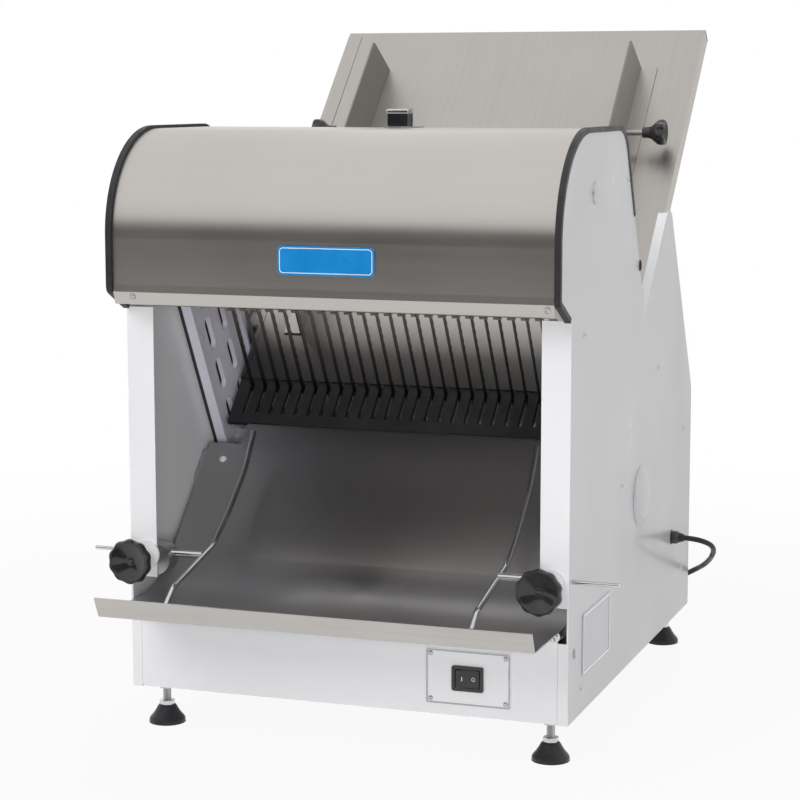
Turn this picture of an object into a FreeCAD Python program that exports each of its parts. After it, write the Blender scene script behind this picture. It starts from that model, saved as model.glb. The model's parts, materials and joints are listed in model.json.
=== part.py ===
"""Bench-top bread slicer: two counter-moving blade frames in a sheet-metal body.

Frame: X to the right seen from the front, Y to the rear, Z up, millimetres.
It is modelled with y = 0 on the front face; the pieces are written out with the origin on
the floor, below the middle of the machine.
"""
import FreeCAD, Part
import math
import os
import Sketcher

V = FreeCAD.Vector

SIZES = [
    # body
    ("body_width", 530.0), ("body_depth", 635.0), ("body_bottom", 50.0), ("hood_top", 704.0),
    ("skin", 2.0), ("post_width", 33.0), ("post_foot", 183.0), ("post_top", 500.0),
    ("flange", 12.0), ("front_panel_top", 147.0),
    # hood and head outline, in the YZ plane
    ("hood_front", -48.0), ("hood_curve", 120.0), ("hood_lip_top", 523.0), ("hood_lip_bottom", 501.0),
    ("hood_lip_rear", -4.0), ("hood_gauge", 1.5), ("head_rear", 238.0), ("head_round", 45.0),
    ("hood_tail_length", 118.0), ("trim_width", 7.0), ("trim_proud", 2.5), ("trim_bite", 6.0),
    ("trim_lap", 1.0), ("lip_round", 8.0),
    ("notch_rear", 349.0), ("notch_height", 473.0), ("ear_rear", 485.0), ("ear_height", 609.0),
    ("ear_round", 22.0), ("shoulder_height", 349.0), ("shoulder_round", 40.0),
    # infeed bed
    ("bed_slope", 45.0), ("bed_rise", 106.0), ("bed_end", 722.0), ("bed_start", 277.5),
    ("bed_inset", 7.0), ("bed_gauge", 1.5), ("bed_hem", 21.0), ("bed_border", 20.0),
    ("bed_notch_end", 338.0), ("rail_start", 375.0), ("rail_end", 470.0),
    # slice tray
    ("tray_inset", 9.0), ("tray_gauge", 1.5), ("tray_floor", 157.0), ("tray_front", -115.0),
    ("tray_lip", 24.0), ("tray_lip_lean", 11.0),("tray_curve", 120.0),
    ("tray_rise", 99.5), ("tray_end", 232.0), ("tray_notch_width", 42.0), ("tray_notch_start", 208.6),
    ("tray_foot_width", 20.0), ("tray_foot_depth", 20.0), ("tray_tab_width", 36.0),
    ("tray_tab_length", 28.0), ("tray_tab_gauge", 12.0),
    # blade frames: distances along the blade plane (up) and across it (forward)
    ("blade_lean", 30.0), ("blade_root_y", 268.5), ("blade_root_z", 379.0), ("blade_count", 27.0),
    ("blade_margin", 28.4), ("blade_width", 10.0), ("blade_gauge", 0.6), ("blade_cap_width", 10.0),
    ("blade_cap_height", 3.0), ("blade_cap_depth", 3.0),
    ("stroke", 40.0), ("top_bar", 162.0), ("bottom_bar", -78.0), ("bar_height", 24.0),
    ("bar_depth", 16.0), ("bar_gap", 12.0), ("tooth_pitch", 12.0), ("tooth_depth", 1.6),
    ("side_plate_width", 58.0), ("side_plate_inset", 13.0), ("side_plate_gauge", 6.0),
    ("side_plate_top", 214.0), ("side_plate_bottom", -154.0), ("hook_bottom", 121.0),
    ("slot_width", 16.0), ("slot_length", 46.0), ("slot_pitch", 62.0), ("slot_shift", 10.0),
    # slide guides
    ("guide_rib", 2.5), ("guide_lip", 2.0),("guide_inset", 19.0), ("guide_back", 3.0),
    ("guide_top", 250.0), ("guide_bottom", -190.0), ("slide_gap", 0.35),
    # comb
    ("comb_gauge", 6.0), ("comb_slot", 5.0), ("comb_slot_front", 241.0), ("comb_tuck", 1.5),
    ("comb_lap", 14.0), ("comb_side_gap", 4.0),
    # drive
    ("crank_reach", -290.0), ("shaft_radius", 10.0), ("pin_radius", 8.0),
    ("web_gauge", 10.0), ("rod_station", 60.0), ("rod_gauge", 12.0), ("rod_length", 140.0),
    ("eye_radius", 16.0), ("rod_width", 16.0), ("running", 0.05), ("loose", 0.4),
    ("bearing_station", 130.0), ("bearing_width", 24.0),
    ("crank_pulley_radius", 60.0), ("motor_pulley_radius", 24.0), ("pulley_width", 18.0),
    ("pulley_station", 160.0), ("belt_height", 8.0), ("belt_width", 12.0),
    ("motor_y", 190.0), ("motor_z", 135.0), ("motor_radius", 58.0), ("motor_length", 190.0),
    ("motor_shaft", 7.0), ("floor_gauge", 2.0), ("little_pin", 7.0),
    # front wire guides and their clamps
    ("wire_station", 180.0), ("wire_radius", 3.2), ("rod_radius", 4.5), ("tail_radius", 2.5),
    ("rod_y", 15.0), ("rod_z", 210.0), ("rod_tail", 53.0), ("clamp_inset", 21.0),
    ("boss_inset", 29.0), ("boss_z", 204.0), ("boss_radius", 19.0), ("boss_depth", 26.0),
    ("knob_radius", 26.5), ("knob_depth", 36.0), ("knob_front", -52.0), ("washer_radius", 16.0),
    ("washer_gauge", 3.0), ("stud_radius", 4.0),
    # loaf guides on the bed
    ("loaf_station", 180.0), ("loaf_height", 71.0), ("loaf_gauge", 2.0), ("loaf_foot", 24.0),
    ("loaf_start", 330.0), ("loaf_end", 670.0), ("loaf_slant", 13.0), ("guide_knob_y", 545.0),
    ("guide_knob_z", 692.0), ("guide_knob_radius", 17.0), ("guide_knob_start", 214.0),
    ("guide_knob_length", 30.0), ("guide_nut", 5.0),
    # switch
    ("switch_x", 150.0), ("switch_z", 95.0), ("switch_plate_width", 100.0),
    ("switch_plate_height", 64.0), ("switch_plate_gauge", 1.5), ("bezel_width", 37.0),
    ("bezel_height", 29.0), ("bezel_proud", 3.0), ("rocker_width", 28.0), ("rocker_height", 20.0),
    ("switch_depth", 30.0), ("switch_wall", 1.1), ("rocker_pin", 1.2), ("rocker_tilt", 6.0),
    # feet
    ("foot_inset", 28.0), ("foot_front", 33.0), ("foot_rear_inset", 30.0), ("foot_radius", 21.5),
    ("foot_height", 25.0), ("foot_stud", 5.0), ("foot_thread_top", 78.0), ("foot_pad", 15.0),
    ("foot_nut", 8.0),
    # plates, latch, plugs
    ("badge_width", 113.0), ("badge_height", 32.0), ("badge_gauge", 2.0), ("badge_z", 562.0),
    ("rating_y", 122.0), ("rating_z", 128.0), ("rating_length", 126.0), ("rating_height", 72.0),
    ("latch_width", 27.0), ("latch_height", 20.0), ("latch_depth", 16.0), ("latch_y", 197.0),
    # mains lead
    ("gland_inset", 110.0), ("gland_z", 163.0), ("gland_radius", 9.0),
    ("gland_nut", 8.0), ("gland_length", 18.0),
    ("cord_radius", 3.5), ("coil_inset", 125.0), ("coil_behind", 54.5), ("coil_middle", 42.3),
    ("coil_height", 21.6), ("coil_band", 14.6), ("plug_length", 46.0), ("plug_width", 34.0),
    ("plug_height", 22.0), ("plug_flange", 8.0), ("plug_grip", 24.0), ("plug_sleeve", 18.0),
    ("plug_reach", 16.4), ("plug_tail", 25.0), ("pin_length", 19.0), ("plug_pin_radius", 2.4),
    ("pin_spread", 9.5),
]

os.makedirs("parts", exist_ok=True)
doc = FreeCAD.newDocument("bread_slicer")
sheet = doc.addObject("Spreadsheet::Sheet", "sizes")
for row, (alias, number) in enumerate(SIZES, start=1):
    sheet.set(f"A{row}", alias)
    sheet.set(f"B{row}", str(number))
    sheet.setAlias(f"B{row}", alias)
doc.recompute()


class Size:
    """A length that carries its number and the sheet expression that gives it."""

    def __init__(self, number, text):
        self.number = float(number)
        self.text = text

    def __add__(self, other):
        other = size(other)
        return Size(self.number + other.number, f"({self.text} + {other.text})")

    def __radd__(self, other):
        return size(other) + self

    def __sub__(self, other):
        other = size(other)
        return Size(self.number - other.number, f"({self.text} - {other.text})")

    def __rsub__(self, other):
        return size(other) - self

    def __mul__(self, other):
        other = size(other)
        return Size(self.number * other.number, f"({self.text} * {other.text})")

    def __rmul__(self, other):
        return size(other) * self

    def __truediv__(self, other):
        other = size(other)
        return Size(self.number / other.number, f"({self.text} / {other.text})")

    def __neg__(self):
        return Size(-self.number, f"(0 - {self.text})")

    def __float__(self):
        return self.number


def size(value):
    """Any number as a Size; a bare number is its own expression."""
    if isinstance(value, Size):
        return value
    return Size(value, f"({value:.6f})")


def cell(alias):
    """The named cell of the sheet."""
    return Size(sheet.get(alias), f"sizes.{alias}")


def sine(angle):
    return Size(math.sin(math.radians(angle.number)), f"sin({angle.text} * 1 deg)")


def cosine(angle):
    return Size(math.cos(math.radians(angle.number)), f"cos({angle.text} * 1 deg)")


def tangent(angle):
    return sine(angle) / cosine(angle)


def bind(item, path, value):
    """Ties one property to its expression."""
    item.setExpression(path, size(value).text)


def place(item, x, y, z):
    """Moves an object to a point that stays tied to the sheet."""
    item.Placement.Base = V(float(size(x)), float(size(y)), float(size(z)))
    for axis, value in zip("xyz", (x, y, z)):
        bind(item, f".Placement.Base.{axis}", value)
    return item


def block(name, low, high):
    """A box between two corners."""
    item = doc.addObject("Part::Box", name)
    for side, start, end in zip(("Length", "Width", "Height"), low, high):
        bind(item, side, size(end) - size(start))
    return place(item, *low)


TURNS = {"x": FreeCAD.Rotation(V(0, 1, 0), 90), "y": FreeCAD.Rotation(V(1, 0, 0), -90),
         "z": FreeCAD.Rotation()}


def rod(name, axis, radius, start, end, across):
    """A round bar along one axis; across holds the two other coordinates, in XYZ order."""
    item = doc.addObject("Part::Cylinder", name)
    bind(item, "Radius", radius)
    bind(item, "Height", size(end) - size(start))
    item.Placement.Rotation = TURNS[axis]
    at = list(across)
    at.insert("xyz".index(axis), start)
    return place(item, *at)


def cone(name, axis, first, last, start, end, across):
    """A taper from the first radius to the last along one axis."""
    item = doc.addObject("Part::Cone", name)
    bind(item, "Radius1", first)
    bind(item, "Radius2", last)
    bind(item, "Height", size(end) - size(start))
    item.Placement.Rotation = TURNS[axis]
    at = list(across)
    at.insert("xyz".index(axis), start)
    return place(item, *at)


def fuse(name, *shapes):
    item = doc.addObject("Part::MultiFuse", name)
    item.Shapes = list(shapes)
    item.Refine = True
    return item


def cut(name, base, *tools):
    item = doc.addObject("Part::Cut", name)
    item.Base = base
    item.Tool = tools[0] if len(tools) == 1 else fuse(f"{name}_tools", *tools)
    return item


PLANES = {"YZ": "YZ_Plane", "XZ": "XZ_Plane", "XY": "XY_Plane"}


def prism(name, plane, corners, start, end, rounds=()):
    """A PartDesign body: a polygon padded from start to end along the plane's normal.

    YZ corners are (y, z) and pad along +X; XY corners are (x, y) and pad along +Z;
    XZ corners are (x, z) and pad from start to end along -Y, so start is the larger y.
    rounds holds (corner index, radius) pairs for the edges to fillet.
    """
    body = doc.addObject("PartDesign::Body", name)
    sketch = body.newObject("Sketcher::SketchObject", f"{name}_outline")
    origin = [f for f in body.Origin.OriginFeatures if f.Role == PLANES[plane]][0]
    sketch.AttachmentSupport = [(origin, "")]
    sketch.MapMode = "FlatFace"
    offset = -size(start) if plane == "XZ" else size(start)
    sketch.AttachmentOffset = FreeCAD.Placement(V(0, 0, float(offset)), FreeCAD.Rotation())
    bind(sketch, "AttachmentOffset.Base.z", offset)
    points = [(size(a), size(b)) for a, b in corners]
    flat = [V(float(a), float(b), 0) for a, b in points]
    count = len(flat)
    for index in range(count):
        sketch.addGeometry(Part.LineSegment(flat[index], flat[(index + 1) % count]))
    for index in range(count):
        sketch.addConstraint(Sketcher.Constraint("Coincident", index, 2, (index + 1) % count, 1))
    for index, (a, b) in enumerate(points):
        for kind, value in (("DistanceX", a), ("DistanceY", b)):
            place_at = sketch.addConstraint(Sketcher.Constraint(kind, -1, 1, index, 1, float(value)))
            sketch.setExpression(f"Constraints[{place_at}]", value.text)
    pad = body.newObject("PartDesign::Pad", f"{name}_pad")
    pad.Profile = sketch
    length = size(start) - size(end) if plane == "XZ" else size(end) - size(start)
    bind(pad, "Length", length)
    doc.recompute()
    for index, radius in rounds:
        tip = body.Tip
        corner = flat[index]
        names = []
        for number, edge in enumerate(tip.Shape.Edges, start=1):
            ends = [vertex.Point for vertex in edge.Vertexes]
            if len(ends) == 2 and all(matches(end, corner, plane) for end in ends):
                names.append(f"Edge{number}")
        fillet = body.newObject("PartDesign::Fillet", f"{name}_round_{index}")
        fillet.Base = (tip, names)
        bind(fillet, "Radius", radius)
        body.Tip = fillet
        doc.recompute()
    return body


def matches(point, corner, plane):
    """Whether a point lies over a sketch corner of this plane."""
    a, b = {"YZ": (point.y, point.z), "XZ": (point.x, point.z), "XY": (point.x, point.y)}[plane]
    return abs(a - corner.x) < 1e-4 and abs(b - corner.y) < 1e-4


def solid(name, shape):
    """A feature whose shape is worked out below from the sheet's values."""
    item = doc.addObject("Part::Feature", name)
    item.Shape = shape
    return item


nodes = {}


def node(name, item):
    """Registers a finished piece under the name of its file."""
    item.Label = name
    nodes[name] = item
    return item


def mirrored(name, source):
    """The same piece on the other side of the machine."""
    item = doc.addObject("Part::Mirroring", name)
    item.Source = source
    item.Normal = V(1, 0, 0)
    return item


def rounded_edges(points, radii, closed):
    """Straight runs joined by tangent arcs; one radius for each point, 0 keeps it sharp."""
    count = len(points)
    edges = []
    ends = []
    for index, point in enumerate(points):
        inner = closed or 0 < index < count - 1
        radius = radii[index] if inner else 0
        if not radius:
            ends.append((point, point, None))
            continue
        back = (points[index - 1] - point).normalize()
        ahead = (points[(index + 1) % count] - point).normalize()
        half = back.getAngle(ahead) / 2
        reach = radius / math.tan(half)
        centre = point + (back + ahead).normalize() * (radius / math.sin(half))
        middle = centre + (point - centre).normalize() * radius
        ends.append((point + back * reach, point + ahead * reach, middle))
    for index in range(count if closed else count - 1):
        start = ends[index][1]
        end = ends[(index + 1) % count][0]
        if start.distanceToPoint(end) > 1e-6:
            edges.append(Part.LineSegment(start, end).toShape())
        entry, leave, middle = ends[(index + 1) % count]
        if middle is not None:
            edges.append(Part.Arc(entry, middle, leave).toShape())
    return edges


def offset_line(points, distance):
    """An open line moved sideways in the YZ plane, to the left of its own direction."""
    moved = []
    normals = []
    for first, second in zip(points, points[1:]):
        along = (second - first).normalize()
        normals.append(V(0, -along.z, along.y))
    for index, point in enumerate(points):
        before = normals[max(index - 1, 0)]
        after = normals[min(index, len(normals) - 1)]
        total = before + after
        moved.append(point + total * (2 * distance / total.dot(total)))
    return moved


def bent_sheet(points, radii, gauge, start, end):
    """A folded sheet: a line in the YZ plane, thickened to its left and run from start to end."""
    near = [V(start, y, z) for y, z in points]
    far = offset_line(near, gauge)
    far_radii = []
    for index, radius in enumerate(radii):
        if not radius:
            far_radii.append(0)
            continue
        before = near[index] - near[index - 1]
        after = near[index + 1] - near[index]
        turns_left = before.y * after.z - before.z * after.y > 0
        far_radii.append(radius - gauge if turns_left else radius + gauge)
    outline = rounded_edges(near + far[::-1], list(radii) + far_radii[::-1], True)
    face = Part.Face(Part.Wire(outline))
    return face.extrude(V(end - start, 0, 0))


def tube(points, radii, radius):
    """A round bar bent along straight runs and tangent arcs."""
    wire = Part.Wire(rounded_edges(points, radii, False))
    along = (points[1] - points[0]).normalize()
    ring = Part.Wire(Part.Circle(points[0], along, radius).toShape())
    return wire.makePipeShell([ring], True, False)


W = cell("body_width")
HALF = W / 2
SKIN = cell("skin")
INNER = HALF - SKIN
BOTTOM = cell("body_bottom")
DEPTH = cell("body_depth")
LEAN = cell("blade_lean")
ROOT_Y = cell("blade_root_y")
ROOT_Z = cell("blade_root_z")
PLATE = HALF - cell("side_plate_inset")
GUIDE = HALF - cell("guide_inset")
TRAY = HALF - cell("tray_inset")
BED = HALF - cell("bed_inset")
FOOT = HALF - cell("foot_inset")
FOOT_REAR = DEPTH - cell("foot_rear_inset")
CLAMP = HALF - cell("clamp_inset")
GLAND_Y = DEPTH - cell("gland_inset")


def blade_point(up, forward):
    """A point of the YZ plane from its distances along and in front of the blade plane."""
    up = size(up)
    forward = size(forward)
    y = ROOT_Y - up * sine(LEAN) - forward * cosine(LEAN)
    z = ROOT_Z + up * cosine(LEAN) - forward * sine(LEAN)
    return y, z


def blade_box(name, up, forward, across):
    """A straight bar of the blade frames: ranges along, in front of and across the blades."""
    corners = [blade_point(up[0], forward[0]), blade_point(up[1], forward[0]),
               blade_point(up[1], forward[1]), blade_point(up[0], forward[1])]
    return prism(name, "YZ", corners, across[0], across[1])


# ---------------------------------------------------------------- side panels and body

def side_outline():
    """The side panel seen from the right, starting at the lower front corner."""
    rise = (cell("ear_height") - cell("notch_height")) / (cell("ear_rear") - cell("notch_rear"))
    return [
        (size(0), BOTTOM), (size(0), cell("hood_lip_bottom")),
        (cell("hood_lip_rear"), cell("hood_lip_bottom")),
        (cell("hood_front"), cell("hood_lip_top")), (cell("hood_front"), cell("hood_top")),
        (cell("head_rear"), cell("hood_top")), (cell("notch_rear"), cell("notch_height")),
        (cell("ear_rear"), cell("notch_height") + rise * (cell("ear_rear") - cell("notch_rear"))),
        (DEPTH, cell("shoulder_height")), (DEPTH, BOTTOM),
    ]


def make_side_panel():
    corners = side_outline()
    skin = prism("right_skin", "YZ", corners, INNER, HALF,
                 [(3, cell("lip_round")), (4, cell("hood_curve")), (5, cell("head_round")),
                  (7, cell("ear_round")), (8, cell("shoulder_round"))])
    post = block("right_post", (HALF - cell("post_width"), 0, cell("post_foot")),
                 (INNER, SKIN, cell("post_top")))
    lower = block("right_lower_flange", (HALF - cell("flange"), 0, BOTTOM),
                  (INNER, SKIN, cell("front_panel_top") - 4))
    back = block("right_back_flange", (HALF - cell("flange"), DEPTH - SKIN, BOTTOM),
                 (INNER, DEPTH, cell("shoulder_height") - cell("shoulder_round")))
    foot = block("right_foot_flange", (HALF - cell("flange"), 0, BOTTOM), (INNER, DEPTH, BOTTOM + SKIN))
    ny, nz = cell("notch_rear"), cell("notch_height")
    edge = cell("ear_round") * 0.75
    run = cell("ear_rear") - ny - edge
    lean = SKIN * math.sqrt(0.5)
    slant = prism("right_ear_flange", "YZ",
                  [(ny, nz), (ny + run, nz + run), (ny + run + lean, nz + run - lean),
                   (ny + lean, nz - lean)], HALF - cell("flange"), INNER)
    body = fuse("right_panel_sheet", skin, post, lower, back, foot, slant)
    hole = rod("right_rod_hole", "x", cell("tail_radius") + cell("loose"), INNER - 1, HALF + 1,
               (cell("rod_y"), cell("rod_z")))
    stud_hole = rod("right_stud_hole", "y", cell("stud_radius") + cell("loose"), -1, SKIN + 1,
                    (CLAMP, cell("rod_z")))
    gland_hole = rod("right_gland_hole", "x", cell("gland_radius") - 2, INNER - 1, HALF + 1,
                     (GLAND_Y, cell("gland_z")))
    right = cut("right_side_panel_cut", body, hole, stud_hole, gland_hole)
    left = mirrored("left_side_panel_mirror", cut("left_side_panel_cut", body, hole, stud_hole))
    node("right_side_panel", right)
    node("left_side_panel", left)


def make_base_pan():
    room = 0.3
    low, top = BOTTOM + SKIN + room, BOTTOM + SKIN + room + cell("floor_gauge")
    edge = INNER - room
    floor = block("pan_floor", (-edge, SKIN + room, low), (edge, DEPTH - SKIN - room, top))
    front = block("pan_front", (-edge + 12, SKIN + room, low), (edge - 12, SKIN * 2 + room, low + 26))
    rear = block("pan_rear", (-edge + 12, DEPTH - SKIN * 2 - room, low),
                 (edge - 12, DEPTH - SKIN - room, low + 26))
    holes = []
    for side in (-1, 1):
        for y in (cell("foot_front"), FOOT_REAR):
            holes.append(rod(f"pan_hole_{len(holes)}", "z", cell("foot_stud") + 1, low - 1, top + 1,
                             (FOOT * side, y)))
    node("base_pan", cut("base_pan_cut", fuse("base_pan_sheet", floor, front, rear), *holes))


def make_front_panel():
    room = 0.3
    edge = HALF - cell("flange") - room
    low, high = BOTTOM + 1, cell("front_panel_top")
    plate = prism("front_plate", "XZ", [(-edge, low), (edge, low), (edge, high), (-edge, high)],
                  SKIN, 0, ((0, 3), (1, 3)))
    cuff = block("front_cuff", (-edge, SKIN, high - SKIN), (edge, 24, high))
    window = block("switch_window",
                   (cell("switch_x") - 16, -1, cell("switch_z") - 12),
                   (cell("switch_x") + 16, SKIN + 1, cell("switch_z") + 12))
    node("front_panel", cut("front_panel_cut", fuse("front_panel_sheet", plate, cuff), window))


def make_rear_cover():
    room = 0.4
    gauge = 1.5
    y = float(DEPTH - SKIN) - room
    knee = float(cell("shoulder_height")) - 8
    end_y = float(cell("ear_rear")) + 40
    end_z = float(cell("ear_height")) - 104
    half = float(INNER) - room
    path = [(y, float(BOTTOM) + 36), (y, knee), (end_y, end_z)]
    shape = bent_sheet(path, [0, 30, 0], gauge, -half, half)
    for row in range(7):
        for side in (-1, 1):
            slot = Part.makeBox(90, 8, 5, V(side * 90 - 45, y - 4, 120 + row * 16))
            shape = shape.cut(slot)
    node("rear_cover", solid("rear_cover_sheet", shape))


def head_path(inset):
    """The hood's outline, moved inwards by inset, from the lip over the top to the tail."""
    front = float(cell("hood_front")) + inset
    top = float(cell("hood_top")) - inset
    lean = math.atan2(float(cell("notch_rear") - cell("head_rear")),
                      float(cell("hood_top") - cell("notch_height")))
    reach = float(cell("hood_tail_length"))
    rear = float(cell("head_rear")) - inset / math.cos(lean) + inset * math.tan(lean)
    tail = (rear + reach * math.sin(lean), top - reach * math.cos(lean))
    return [(float(cell("hood_lip_rear")) + inset, float(cell("hood_lip_bottom")) + inset),
            (front, float(cell("hood_lip_top")) + inset * 0.6), (front, top), (rear, top), tail]


def make_hood():
    gauge = float(cell("hood_gauge"))
    half = float(HALF - cell("trim_width") + cell("trim_lap")) - 0.4
    radii = [0, 6, float(cell("hood_curve")) - 1, float(cell("head_round")) - 1, 0]
    shape = bent_sheet(head_path(1 + gauge), radii, gauge, -half, half)
    node("hood", solid("hood_sheet", shape))


def make_trims():
    """Rubber channels pushed over the edge of the panel's head."""
    proud = float(cell("trim_proud"))
    bite = float(cell("trim_bite"))
    lap = cell("trim_lap")
    start = float(HALF - cell("trim_width") + lap)
    end = float(HALF + lap)
    room = 0.05
    radii = [0, float(cell("lip_round")), float(cell("hood_curve")), float(cell("head_round")), 0]
    outer = [(y, z) for y, z in head_path(-proud)]
    swollen = [radius + proud if radius else 0 for radius in radii]
    whole = bent_sheet(outer, swollen, -bite, start, end)
    slot = bent_sheet(head_path(-room), radii, -bite - 4, float(INNER) - room, float(HALF) + room)
    node("right_hood_trim", solid("right_trim", whole.cut(slot)))
    node("left_hood_trim", mirrored("left_trim", nodes["right_hood_trim"]))


def bed_point(along_y, above):
    """A point above the bed's top face: its y along the bed and its height square to it."""
    slope = cell("bed_slope")
    y = size(along_y)
    z = (y - cell("bed_end")) * tangent(slope) + cell("bed_end") + cell("bed_rise")
    return y - size(above) * sine(slope), z + size(above) * cosine(slope)


def make_tray():
    gauge = float(cell("tray_gauge"))
    half = float(TRAY)
    floor, rise = float(cell("tray_floor")), float(cell("tray_rise"))
    lip, lean = float(cell("tray_lip")), float(cell("tray_lip_lean"))
    tip = float(cell("tray_front"))
    end = float(cell("tray_end"))
    path = [(tip, floor + lip), (tip + lean, floor), (floor - rise, floor), (end, end + rise)]
    shape = bent_sheet(path, [0, 3, float(cell("tray_curve")), 0], gauge, -half, half)
    start = float(cell("tray_notch_start"))
    width = float(cell("tray_notch_width"))
    for side in (-1, 1):
        low = half - width if side > 0 else -half - 1
        notch = Part.makeBox(width + 1, end - start + 20, end - start + 60, V(low, start, start + rise - 20))
        shape = shape.cut(notch)
    node("slice_tray", solid("slice_tray_sheet", shape))


def make_tray_brackets():
    """Feet on the front panel that the trough rests on, and tabs on the posts under the wings."""
    pieces = []
    rise = cell("tray_rise")
    inset = size(4)
    length, drop = cell("tray_tab_length"), cell("tray_tab_gauge")
    y = cell("tray_notch_start") - length - 6
    for side in (-1, 1):
        a, b = TRAY - inset - cell("tray_foot_width"), TRAY - inset
        low, high = (a, b) if side > 0 else (-b, -a)
        pieces.append(block(f"tray_foot_{side + 1}", (low, -5, cell("front_panel_top")),
                            (high, cell("tray_foot_depth"), cell("tray_floor"))))
        tab = cell("tray_tab_width")
        low, high = (INNER - tab, INNER) if side > 0 else (-INNER, -INNER + tab)
        corners = [(y, y + rise), (y + length, y + rise + length), (y + length, y + rise + length - drop),
                   (y, y + rise - drop)]
        pieces.append(prism(f"tray_tab_{side + 1}", "YZ", corners, low, high))
    node("tray_brackets", fuse("tray_bracket_set", *pieces))


def make_bed():
    gauge = cell("bed_gauge")
    half = float(BED)
    hem = float(cell("bed_hem"))
    start, end = cell("bed_start"), cell("bed_end")
    low = [tuple(map(float, bed_point(y, -gauge))) for y in (start, end)]
    back = float(cell("bed_slope"))
    low.append((low[1][0] + hem * math.sin(math.radians(back)),
                low[1][1] - hem * math.cos(math.radians(back))))
    shape = bent_sheet(low, [0, 2, 0], float(gauge), -half, half)
    parts = [shape]
    for side in (-1, 1):
        at = half - float(gauge) if side > 0 else -half
        corners = [bed_point(y, above) for y, above in
                   ((start, 0), (end - 3, 0), (end - 3, -cell("bed_hem")), (start, -cell("bed_hem")))]
        parts.append(flat_prism(corners, at, at + float(gauge)))
        at = half - float(cell("bed_border")) if side > 0 else -half
        corners = [bed_point(y, above) for y, above in
                   ((start, 0), (end - 6, 0), (end - 6, 1), (start, 1))]
        parts.append(flat_prism(corners, at, at + float(cell("bed_border"))))
    shape = parts[0].multiFuse(parts[1:]).removeSplitter()
    clear = float(GUIDE) - 3
    room = 30
    run = float(cell("bed_notch_end") - start) + room
    low_z = float(start + cell("bed_rise")) - 2 * room
    for side in (-1, 1):
        low_x = clear if side > 0 else -half - 1
        notch = Part.makeBox(half + 1 - clear, run, run + 3 * room, V(low_x, float(start) - room, low_z))
        shape = shape.cut(notch)
    node("infeed_bed", solid("infeed_bed_sheet", shape))
    rails = []
    for side in (-1, 1):
        corners = [bed_point(y, above) for y, above in
                   ((cell("rail_start"), -2), (cell("rail_end"), -2),
                    (cell("rail_end"), -cell("bed_hem")), (cell("rail_start"), -cell("bed_hem")))]
        low_x, high_x = (BED, INNER) if side > 0 else (-INNER, -BED)
        rails.append(prism(f"bed_rail_{side + 1}", "YZ", corners, low_x, high_x))
    node("bed_rails", fuse("bed_rail_set", *rails))


def flat_prism(corners, start, end):
    """A plain extruded polygon of the YZ plane."""
    points = [V(start, float(y), float(z)) for y, z in corners]
    face = Part.Face(Part.makePolygon(points + points[:1]))
    return face.extrude(V(end - start, 0, 0))


def blade_stations():
    count = int(round(float(cell("blade_count"))))
    pitch = 2 * float(PLATE - cell("blade_margin")) / (count - 1)
    return [(index - (count - 1) / 2) * pitch for index in range(count)]


def make_comb():
    """The slotted strip lapped under the bed's foot; every blade runs in a slot of its own."""
    lap_end = float(cell("bed_start") + cell("comb_lap"))
    rise = float(bed_point(0, -cell("bed_gauge"))[1]) - float(bed_point(0, -cell("bed_gauge"))[0])
    front = float(cell("tray_end")) + (float(cell("tray_rise")) - rise) / 2 + 0.3
    drop = float(cell("comb_gauge")) / math.sqrt(2)
    corners = [(front, front + rise), (lap_end, lap_end + rise),
               (lap_end + drop, lap_end + rise - drop), (front + drop, front + rise - drop)]
    half = float(GUIDE - cell("comb_side_gap"))
    shape = flat_prism(corners, -half, half)
    width = float(cell("comb_slot"))
    start = float(cell("comb_slot_front"))
    end = float(cell("bed_start") + cell("comb_tuck"))
    low_z, high_z = start + rise - 3 * drop, end + rise + drop
    slots = [Part.makeBox(width, end - start, high_z - low_z, V(x - width / 2, start, low_z))
             for x in blade_stations()]
    node("blade_comb", solid("blade_comb_strip", shape.cut(Part.makeCompound(slots))))


def rod_eye():
    """How far along the blade plane the connecting rods' upper eyes are."""
    throw = float(cell("stroke")) / 2
    return float(cell("crank_reach")) + math.sqrt(float(cell("rod_length")) ** 2 - throw ** 2)


def slot_cutter(up, forward, start, end):
    """A round-ended slot along the blades, cut through a side plate."""
    half_l, half_w = float(cell("slot_length")) / 2, float(cell("slot_width")) / 2
    corners = [(up - half_l, forward - half_w), (up + half_l, forward - half_w),
               (up + half_l, forward + half_w), (up - half_l, forward + half_w)]
    points = [V(start, *map(float, blade_point(*corner))) for corner in corners]
    edges = rounded_edges(points, [half_w * 0.98] * 4, True)
    return Part.Face(Part.Wire(edges)).extrude(V(end - start, 0, 0))


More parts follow.
